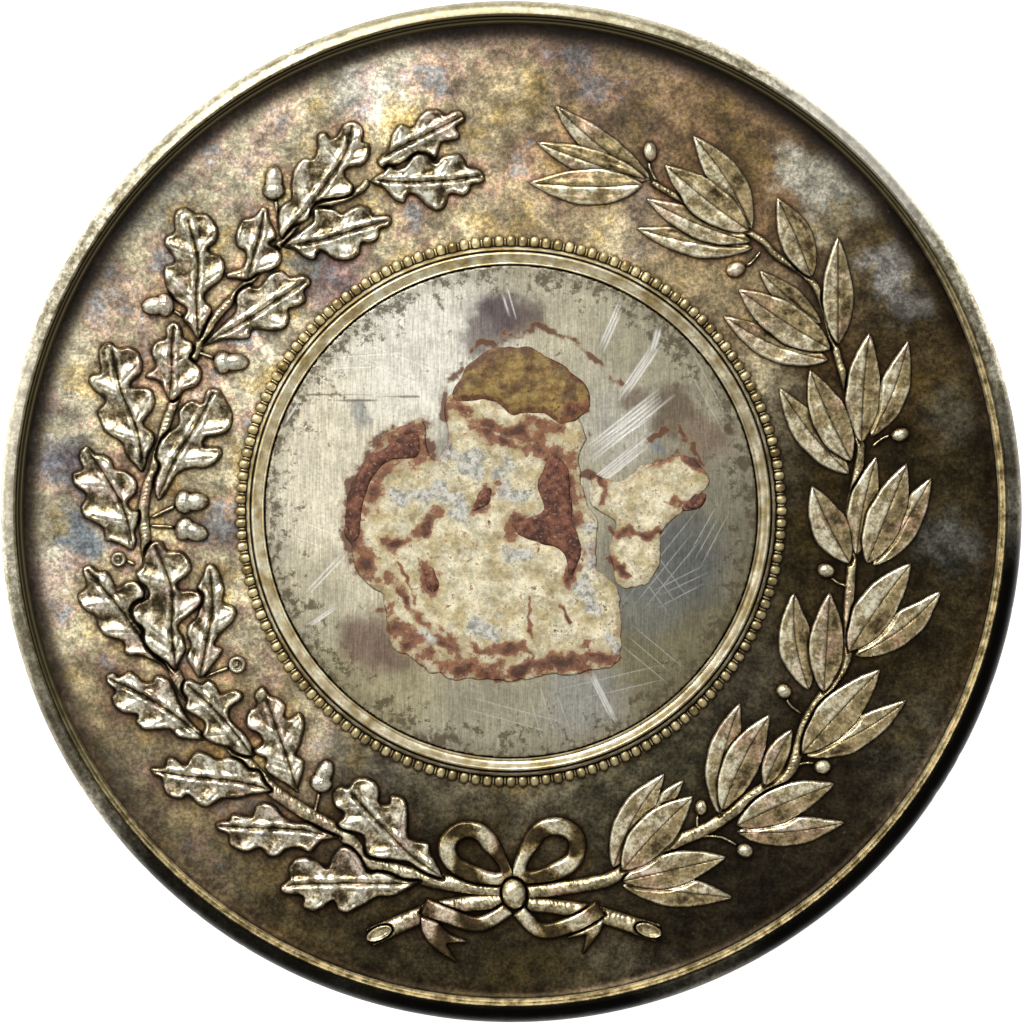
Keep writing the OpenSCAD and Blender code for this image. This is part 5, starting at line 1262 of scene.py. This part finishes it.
class MEDAL_OT_blank(bpy.types.Operator):
    """Turns the blank, the rim bands and the steps"""

    bl_idname = "medal.blank"
    bl_label = "Blank and rim"

    def execute(self, context):
        rim = context.scene.medal_rim
        field = silver_field_material()
        bright = silver_rim_material()
        back = side_material()
        step_r = LISTEL_R - rim.step_w
        top_step = RIM_TOP - rim.step_drop
        # the front field, with its cove up to the step
        cove = [(step_r - 0.5 * MM * (1 - math.sin(a)), FIELD_Z + 0.25 * MM * (1 - math.cos(a)))
                for a in np.linspace(0, math.pi / 2, 7)]
        face = turned("front_field", [(0, FIELD_Z - 0.5 * MM), (0, FIELD_Z)] + cove
                      + [(step_r, FIELD_Z - 0.5 * MM)], rim.turns)
        only(face)
        rounded(40)
        settle(face, field, "silver_field", "flan")
        ring_piece("edge_and_back", [
            (0, BACK_Z), (0, FIELD_Z - 0.5 * MM), (step_r, FIELD_Z - 0.5 * MM), (step_r, FIELD_Z),
            (MEDAL_R - 0.12 * MM, FIELD_Z), (MEDAL_R - 0.02 * MM, FIELD_Z - 0.4 * MM),
            (MEDAL_R, (FIELD_Z + BACK_Z) / 2), (MEDAL_R - 0.02 * MM, BACK_Z + 0.3 * MM),
            (MEDAL_R - 0.1 * MM, BACK_Z)], rim.turns, 30, back, "silver_field")
        # the raised band: leans outwards and rounds over at the edge
        lean = [(LISTEL_R, FIELD_Z), (LISTEL_R, RIM_TOP - 0.1 * MM), (LISTEL_R + 0.1 * MM, RIM_TOP)]
        lean += [(LISTEL_R + 0.28 * MM, RIM_TOP - 0.03 * MM), (LISTEL_R + 0.48 * MM, RIM_TOP - 0.12 * MM),
                 (LISTEL_R + 0.64 * MM, RIM_TOP - 0.27 * MM), (LISTEL_R + 0.74 * MM, RIM_TOP - 0.45 * MM),
                 (MEDAL_R, FIELD_Z + 0.1 * MM), (MEDAL_R - 0.12 * MM, FIELD_Z)]
        band = turned("front_rim_band", lean, rim.turns * 2)
        dent(band)
        only(band)
        rounded(50)
        settle(band, bright, "silver_rim", "front_listel")
        ring_piece("front_step_band", [
            (step_r - 0.02 * MM, FIELD_Z + 0.2 * MM), (step_r, top_step - 0.1 * MM),
            (step_r + 0.05 * MM, top_step - 0.01 * MM),
            (step_r + 0.11 * MM, top_step), (step_r + 0.17 * MM, top_step - 0.09 * MM),
            (step_r + 0.23 * MM, top_step + 0.03 * MM), (step_r + 0.28 * MM, top_step + 0.04 * MM),
            (LISTEL_R, top_step - 0.02 * MM), (LISTEL_R, FIELD_Z)], rim.turns * 2,
            50, silver_step_material(), "silver_rim", "front_rim_step")
        ring_piece("back_rim_band", [
            (LISTEL_R, BACK_Z), (LISTEL_R, 0.06 * MM), (LISTEL_R + 0.08 * MM, 0), (LISTEL_R + 0.45 * MM, 0),
            (LISTEL_R + 0.62 * MM, 0.06 * MM), (MEDAL_R - 0.05 * MM, 0.22 * MM),
            (MEDAL_R - 0.1 * MM, BACK_Z)], rim.turns, 50, back, "silver_rim", "back_listel")
        ring_piece("back_step_band", [
            (step_r - 0.4 * MM, BACK_Z), (step_r, BACK_Z - 0.1 * MM), (step_r, 0.3 * MM),
            (step_r + 0.08 * MM, 0.24 * MM), (LISTEL_R, 0.22 * MM), (LISTEL_R, BACK_Z)], rim.turns,
            50, back, "silver_field", "back_rim_step")
        return {"FINISHED"}


def dent(obj):
    """Small knocks on the outer edge, from years of handling."""
    for v in obj.data.vertices:
        r = math.hypot(v.co.x, v.co.y)
        share = (r - LISTEL_R) / (MEDAL_R - LISTEL_R)
        if share < 0.3:
            continue
        a = math.atan2(v.co.y, v.co.x)
        soft = noise.noise(Vector((math.cos(a) * 9, math.sin(a) * 9, 3.0)))
        sharp = max(0.0, noise.noise(Vector((math.cos(a) * 45, math.sin(a) * 45, v.co.z * 900))) - 0.35)
        pull = (0.01 * soft - 0.07 * sharp) * MM * share
        k = min(r + pull, MEDAL_R) / r
        v.co.x *= k
        v.co.y *= k
        v.co.z -= 0.14 * sharp * MM * share


class MEDAL_OT_cartouche(bpy.types.Operator):
    """Makes the plate, its moulding and its ring of beads"""

    bl_idname = "medal.cartouche"
    bl_label = "Cartouche"

    def execute(self, context):
        rim = context.scene.medal_rim
        ridged = silver_moulding_material("ridged_silver_moulding", "#BBA776", "#FFF3D2")
        pearled = silver_moulding_material("toned_silver_beads", "#7F6B40", "#DCC995")
        plate_r = PLATE_R / MM
        outline = egg_outline((0, 0), plate_r, plate_r, 0, 240)

        lines = scratch_lines()

        def height(points, edge):
            scratch = np.zeros(len(points))
            for a, b, w in lines:
                near = ((points > np.minimum(a, b) - 4 * w) & (points < np.maximum(a, b) + 4 * w)).all(1)
                if not near.any():
                    continue
                d, along = distance_to(points[near], [a, b], False)[:2]
                length = np.linalg.norm(b - a)
                fade = ease(along / (0.3 * length)) * ease((length - along) / (0.3 * length))
                strength = 1.0 if w > 0.025 else 0.45
                scratch[near] = np.maximum(scratch[near], strength * np.exp(-(d / w) ** 2) * (0.3 + 0.7 * fade))
            top = (PLATE_Z - FIELD_Z) / MM
            out = np.linalg.norm(points, axis=1)
            return np.full(len(points), top) - 0.015 * scratch, {
                "scratch": 0.9 * scratch, "red": streaked(points, RED_STREAKS), "rise": ease((plate_r - out) / 3),
                "dark": streaked(points, DARK_LINES, 0.0)}

        plate = mesh_piece("cartouche_face", *shell([outline], height, 0.11, FIELD_Z, scratch_points(lines)))
        settle(plate, silver_plate_material(), "silver_plate", "cartouche_plate")
        top = (MOULDING_Z - FIELD_Z) / MM
        width = (MOULDING_R - PLATE_R) / MM
        ridge = [(0.0, 0.0), (0.0, 0.42), (0.04, 0.52), (0.09, 0.48), (0.13, 0.36), (0.2, 0.38), (0.3, 0.5),
                 (0.4, 0.66), (0.48, 0.86), (0.54, 0.98), (0.6, 1.0), (0.66, 0.9), (0.71, 0.5), (0.75, 0.46),
                 (0.79, 0.66), (0.84, 0.74), (0.89, 0.64), (0.94, 0.36), (1.0, 0.22), (1.0, 0.0)]
        ring_piece("cartouche_ridges", [(PLATE_R + u * width * MM, FIELD_Z + v * top * MM) for u, v in ridge],
                   rim.turns, 60, ridged, "silver_moulding", "cartouche_moulding")
        settle(bead_ring(rim.beads), pearled, "silver_moulding", "cartouche_beads")
        return {"FINISHED"}


def bead_ring(count):
    """A ring of upright beads with smaller ones between them."""
    bead_l = (BEAD_R - MOULDING_R) / MM
    middle = (BEAD_R + MOULDING_R) / 2
    bpy.ops.object.select_all(action="DESELECT")
    bpy.ops.mesh.primitive_uv_sphere_add(segments=10, ring_count=6, radius=MM, location=(0, 0, 0))
    one = bpy.context.object
    base = np.array([v.co for v in one.data.vertices])
    unit = base / MM
    base = np.sign(unit) * np.abs(unit) ** 0.72 * MM
    faces = [tuple(p.vertices) for p in one.data.polygons]
    bpy.data.objects.remove(one)
    points, all_faces = [], []
    for k in range(2 * count):
        big = k % 2 == 0
        size = (bead_l / 2, 0.215, 0.2) if big else (bead_l * 0.36, 0.06, 0.06)
        a = math.pi * k / count
        wobble = 0.02 * noise.noise(Vector((k * 0.37, 0, 0)))
        p = base * np.array(size)
        p[:, 0] += middle + (wobble - (0.0 if big else 0.03)) * MM
        c, s = math.cos(a), math.sin(a)
        turned_p = np.stack([p[:, 0] * c - p[:, 1] * s, p[:, 0] * s + p[:, 1] * c, p[:, 2] + FIELD_Z], 1)
        first = len(points) * len(base)
        points.append(turned_p)
        all_faces += [tuple(i + first for i in f) for f in faces]
    mesh = bpy.data.meshes.new("bead_ring")
    mesh.from_pydata(np.concatenate(points).tolist(), [], all_faces)
    return shown("bead_ring", mesh)


class MEDAL_OT_oak(bpy.types.Operator):
    """Strikes the oak branch: leaves, acorns and stem"""

    bl_idname = "medal.oak"
    bl_label = "Oak branch"

    def execute(self, context):
        r = relief()
        step = finest()
        leafy = silver_relief_material("rubbed_silver_oak", "#FFF6DA", "#B9A478", "#281C0D", 0.66, 0.42)
        barky = silver_relief_material("toned_silver_oak_bark", "#E8DAB2", "#9D8B62", "#3F3320", 0.5, 0.4)
        lines = [oak_outline(leaf) for leaf in OAK_LEAVES]
        acorn_lines = []
        cups, nuts, stalks = [], [], []
        for cup, tip, foot in ACORNS:
            run = np.array(tip) - np.array(cup)
            angle = math.degrees(math.atan2(run[1], run[0]))
            middle = np.array(cup) + run * 0.42
            cup_shape = (cup, 0.46, 0.58, angle)
            nut_shape = (middle, np.linalg.norm(run) * 0.58, 0.44, angle)
            acorn_lines += [egg_outline(*cup_shape), egg_outline(*nut_shape)]
            cups.append(egg(cup_shape, 0.5, 1.0, 0.06))
            nuts.append(egg(nut_shape, 0.46, 0.0, 0.06))
            stalks.append((np.array([foot, cup]), 0.16, 0.2))
        for cup, size, foot in OPEN_CUPS:
            line = egg_outline(cup, size / 2, size / 2, 0)
            acorn_lines.append(line)

            def hollow(points, edge, size=size):
                rim = np.exp(-((edge - 0.1) / 0.07) ** 2)
                h = 0.2 + 0.2 * rim + 0.12 * ease((edge - 0.3) / 0.1)
                return h, {"rise": np.clip(h / 0.4, 0, 1), "vein": 0.6 * np.exp(-((edge - 0.22) / 0.05) ** 2)}

            cups.append(shell([line], hollow, 0.05, FIELD_Z))
            stalks.append((np.array([foot, cup]), 0.16, 0.2))
        for spray in range(1, 9):
            made = []
            for i, leaf in enumerate(OAK_LEAVES):
                if leaf[0] == spray:
                    above = lines[i + 1:] + acorn_lines + bow_outlines()
                    made.append(shell([lines[i]], oak_height(leaf, r.oak / MM, above, i), step * 0.8, FIELD_Z))
            settle(mesh_piece(f"oak_leaves_{spray}", *joined(made)), leafy, "silver_oak", f"oak_spray_{spray}")
        settle(mesh_piece("acorn_cup_set", *joined(cups)), leafy, "silver_oak", "acorn_cups")
        settle(mesh_piece("acorn_nut_set", *joined(nuts)), leafy, "silver_oak", "acorn_nuts")
        path = smooth_curve(OAK_ROUTE, 6, False)
        woods = [stem(path, 0.82, 0.34, r.stem / MM, lines + bow_outlines(), 1.0, 0.045)]
        for line, w0, w1 in stalks:
            path = smooth_curve([line[0], line.mean(0) + (0.03, 0.03), line[1]], 6, False)
            woods.append(stem(path, w0, w1, 0.2, lines + acorn_lines, 0.0, 0.05))
        settle(mesh_piece("oak_branch_wood", *joined(woods)), barky, "silver_stems", "oak_stem")
        cut = cut_stem(OAK_CUT_ROUTE, 0.74, 0.92, TAIL_LEFT)
        settle(mesh_piece("oak_cut_end", *cut), barky, "silver_stems", "oak_cut_stem")
        return {"FINISHED"}


def cut_stem(route, w0, w1, tail):
    """The cut end of a branch, with a slanting oval face."""
    path = smooth_curve(route, 8, False)
    above = [egg_outline(*KNOT_EGG)] + [band_outline(smooth_curve(t, 6, False), 0.7, 0.8) for t in tail]
    end = path[-1]
    run = path[-1] - path[-4]
    angle = math.degrees(math.atan2(run[1], run[0]))
    face_at = end - run / np.linalg.norm(run) * 0.5
    face = egg_outline(face_at, 0.68, 0.34, angle)

    def dish(points, edge):
        lip = np.exp(-((edge - 0.06) / 0.06) ** 2)
        h = 0.24 + 0.16 * lip + 0.03 * ripple(points, 0.25, 5)
        return h, {"rise": np.clip(h / 0.4, 0, 1), "vein": 0.4 * np.exp(-((edge - 0.17) / 0.05) ** 2)}

    return joined([stem(path, w0, w1, 0.4, above + [face], 0.5, 0.045), shell([face], dish, 0.05, FIELD_Z)])


class MEDAL_OT_laurel(bpy.types.Operator):
    """Strikes the laurel branch: leaves, berries and stem"""

    bl_idname = "medal.laurel"
    bl_label = "Laurel branch"

    def execute(self, context):
        r = relief()
        step = finest()
        leafy = silver_relief_material("toned_silver_laurel", "#FFF0CB", "#BDA879", "#4E3D22", 0.34, 0.36)
        barky = silver_relief_material("toned_silver_laurel_bark", "#E2D2A6", "#97835A", "#3F3320", 0.5, 0.4)
        lines = [laurel_outline(leaf) for leaf in LAUREL_LEAVES]
        berry_shapes = [(b[0], b[1] / 2, b[2] / 2, b[3]) for b in BERRIES]
        berry_lines = [egg_outline(*shape) for shape in berry_shapes]
        for spray in range(1, 10):
            made = []
            for i, leaf in enumerate(LAUREL_LEAVES):
                if leaf[4] == spray:
                    above = lines[i + 1:] + berry_lines + bow_outlines()
                    made.append(shell([lines[i]], laurel_height(leaf, r.laurel / MM, above, i + 40), step, FIELD_Z))
            settle(mesh_piece(f"laurel_leaves_{spray}", *joined(made)), leafy, "silver_laurel",
                   f"laurel_spray_{spray}")
        eggs = [egg(shape, 0.42, 0.0, 0.05) for shape in berry_shapes]
        settle(mesh_piece("berry_set", *joined(eggs)), leafy, "silver_laurel", "laurel_berries")
        path = smooth_curve(LAUREL_ROUTE, 6, False)
        woods = [stem(path, 0.74, 0.28, r.stem / MM, lines + bow_outlines(), 0.6, 0.045)]
        for b in BERRIES:
            foot, centre = np.array(b[4]), np.array(b[0])
            bend = (foot + centre) / 2 + np.array([-(centre - foot)[1], (centre - foot)[0]]) * 0.12
            line = smooth_curve([foot, bend, centre], 6, False)
            woods.append(stem(line, 0.16, 0.14, 0.18, lines + berry_lines, 0.0, 0.05))
        settle(mesh_piece("laurel_branch_wood", *joined(woods)), barky, "silver_stems", "laurel_stem")
        cut = cut_stem(LAUREL_CUT_ROUTE, 0.72, 0.88, TAIL_RIGHT)
        settle(mesh_piece("laurel_cut_end", *cut), barky, "silver_stems", "laurel_cut_stem")
        return {"FINISHED"}


class MEDAL_OT_bow(bpy.types.Operator):
    """Strikes the ribbon bow: loops, knot and forked tails"""

    bl_idname = "medal.bow"
    bl_label = "Ribbon bow"

    def execute(self, context):
        top = relief().ribbon / MM
        silk = silver_relief_material("rubbed_silver_ribbon", "#FFEFC8", "#A8925F", "#3C2E18", 0.55, 0.45)
        knot = egg_outline(*KNOT_EGG)
        for name, loop, node in (("ribbon_left_loop", LOOP_LEFT, "ribbon_loop_left"),
                                 ("ribbon_right_loop", LOOP_RIGHT, "ribbon_loop_right")):
            line = smooth_curve(loop, 5, True)
            outer, inner = widened(loop, RIBBON_W / 2), widened(loop, -RIBBON_W / 2)
            height = ribbon_height(np.vstack([line, line[:1]]), RIBBON_W, top, [knot])
            settle(mesh_piece(name, *shell([outer, inner], height, 0.06, FIELD_Z)), silk, "silver_ribbon", node)
        for name, tail, node in (("ribbon_left_tail", TAIL_LEFT, "ribbon_tail_left"),
                                 ("ribbon_right_tail", TAIL_RIGHT, "ribbon_tail_right")):
            up = smooth_curve(tail[0], 6, False)
            down = smooth_curve(tail[1], 6, False)
            fold = band_outline(up, RIBBON_W * 0.8, RIBBON_W)
            fall = forked(down)
            made = [shell([fall], ribbon_height(down, RIBBON_W, top * 0.8, [knot, fold]), 0.055, FIELD_Z),
                    shell([fold], ribbon_height(up, RIBBON_W, top, [knot]), 0.055, FIELD_Z)]
            settle(mesh_piece(name, *joined(made)), silk, "silver_ribbon", node)
        settle(mesh_piece("ribbon_bow_knot", *egg(KNOT_EGG, 0.62, 0.0, 0.05)), silk, "silver_ribbon", "ribbon_knot")
        return {"FINISHED"}


def forked(path):
    """A band whose end is cut to a swallow tail."""
    line = band_outline(path, RIBBON_W, RIBBON_W * 1.3)
    n = len(path)
    notch = path[-1] - (path[-1] - path[-4]) / np.linalg.norm(path[-1] - path[-4]) * RIBBON_W
    return np.concatenate([line[:n], notch[None], line[n:]])


class MEDAL_OT_residue(bpy.types.Operator):
    """Lays the dried glue and the red crust on the plate"""

    bl_idname = "medal.residue"
    bl_label = "Dried residue"

    def execute(self, context):
        cream = glue_material("dried_cream_glue", "#F4EAC8", "#C4B282", "#5A4228", "#63301F", 0.5)
        olive = glue_material("stained_olive_glue", "#A58848", "#644622", "#24160A", "#5A2E1C", 0.95)
        crust_lines = [ragged(line, 0.22, 60 + k) for k, line in enumerate(RED_CRUSTS)]
        lump = ragged(GLUE_LUMP, 0.22, 50)
        parts = [film(ragged(line, 0.3, seed), 0.05, 0.7, [lump] + crust_lines, seed)
                 for line, seed in ((GLUE_PATCH, 41), (RIGHT_GLUE, 42))]
        settle(mesh_piece("dried_glue_patch", *joined(parts)), cream, "dried_glue", "glue_patch")
        settle(mesh_piece("dried_glue_lump", *film(lump, 0.12, 0.9, [], 51)), olive, "stained_glue", "glue_lump")
        crusts = [film(line, 0.08, 0.3, [], 70 + k) for k, line in enumerate(crust_lines)]
        settle(mesh_piece("red_crust_flakes", *joined(crusts)), crust_material(), "red_crust", "red_crust")
        return {"FINISHED"}


def ragged(points, amount, seed):
    """A smooth closed outline whose edge wanders as a dried edge does."""
    line = resampled(smooth_curve(points, 8, True), 0.1)
    out = line - line.mean(0)
    out /= np.linalg.norm(out, axis=1)[:, None]
    wander = ripple(line, 1.1, seed) + 0.4 * ripple(line, 0.4, seed + 1)
    return line + out * (wander * amount)[:, None]


def film(line, thick, feather, above, seed):
    """A thin dried layer that thins out at its edge."""
    def height(points, edge):
        rough = ripple(points, 0.4, seed) + 0.6 * ripple(points, 0.2, seed + 9)
        h = thick * ease(0.2 + edge / feather) * np.clip(1 + 0.5 * rough, 0.15, 1.7)
        h = h * (0.1 + 0.9 * dipped(points, above, 0.12))
        return h, {"rise": ease(edge / 1.2), "red": streaked(points, RED_STREAKS),
                   "bare": streaked(points, BARE_STREAKS)}

    return shell([line], height, 0.1, PLATE_Z)


class MEDAL_OT_studio(bpy.types.Operator):
    """Sets the floor, the lights and the camera"""

    bl_idname = "medal.studio"
    bl_label = "Studio"

    def execute(self, context):
        bpy.ops.object.select_all(action="DESELECT")
        bpy.ops.mesh.primitive_plane_add(size=3.0, location=(0, 0, -0.02 * MM))
        floor = bpy.context.object
        floor.name = "floor"
        mat, tree = new_material("white_light_table")
        glow = finish(tree, linear("#FFFFFF"), 0.0, 0.9)
        glow.inputs["Emission Color"].default_value = linear("#FFFFFF")
        glow.inputs["Emission Strength"].default_value = 0.9
        floor.data.materials.append(mat)
        softbox("key", 108, 42, 0.42, 0.22, 1.9)
        softbox("side", 165, 30, 0.5, 0.3, 0.4)
        softbox("fill", -70, 65, 0.6, 0.5, 0.25)
        world = bpy.data.worlds.new("studio")
        world.use_nodes = True
        world.node_tree.nodes["Background"].inputs[0].default_value = linear("#FFFFFF")
        world.node_tree.nodes["Background"].inputs[1].default_value = 0.25
        context.scene.world = world
        context.scene.view_settings.view_transform = "Standard"
        lens, sensor = 150.0, 36.0
        wide = 2 * MEDAL_R * 1.0008  # the medal all but fills the view
        reach = wide * lens / sensor
        bpy.ops.object.camera_add(location=(0.049 * MM, -0.03 * MM, RIM_TOP - 0.4 * MM + reach), rotation=(0, 0, 0))
        camera = context.object
        camera.data.lens = lens
        camera.data.sensor_width = sensor
        camera.data.clip_start = 0.01
        context.scene.camera = camera
        return {"FINISHED"}


def softbox(name, around, up, far, size, watts):
    """A square light that faces the medal: around from +X and up from the floor, in degrees."""
    a, e = math.radians(around), math.radians(up)
    at = Vector((math.cos(a) * math.cos(e), math.sin(a) * math.cos(e), math.sin(e))) * far
    bpy.ops.object.light_add(type="AREA", location=at, rotation=at.to_track_quat("Z", "Y").to_euler())
    lamp = bpy.context.object
    lamp.name = name
    lamp.data.size = size
    lamp.data.energy = watts


class MEDAL_PT_panel(bpy.types.Panel):
    """Medal tools in the sidebar"""

    bl_label = "Prize medal"
    bl_space_type = "VIEW_3D"
    bl_region_type = "UI"
    bl_category = "Medal"

    def draw(self, context):
        for group in (context.scene.medal_relief, context.scene.medal_rim):
            for key in group.bl_rna.properties.keys():
                if key not in ("rna_type", "name"):
                    self.layout.prop(group, key)
        for op in OPERATORS:
            self.layout.operator(op.bl_idname)


OPERATORS = (MEDAL_OT_blank, MEDAL_OT_cartouche, MEDAL_OT_oak, MEDAL_OT_laurel, MEDAL_OT_bow,
             MEDAL_OT_residue, MEDAL_OT_studio)
CLASSES = (MedalRelief, MedalRim, *OPERATORS, MEDAL_PT_panel)


def register():
    for cls in CLASSES:
        bpy.utils.register_class(cls)
    bpy.types.Scene.medal_relief = bpy.props.PointerProperty(type=MedalRelief)
    bpy.types.Scene.medal_rim = bpy.props.PointerProperty(type=MedalRim)


def unregister():
    del bpy.types.Scene.medal_relief
    del bpy.types.Scene.medal_rim
    for cls in reversed(CLASSES):
        bpy.utils.unregister_class(cls)


def main():
    register()
    bpy.ops.medal.blank()
    bpy.ops.medal.cartouche()
    bpy.ops.medal.oak()
    bpy.ops.medal.laurel()
    bpy.ops.medal.bow()
    bpy.ops.medal.residue()
    bpy.ops.medal.studio()


if __name__ == "__main__":
    main()
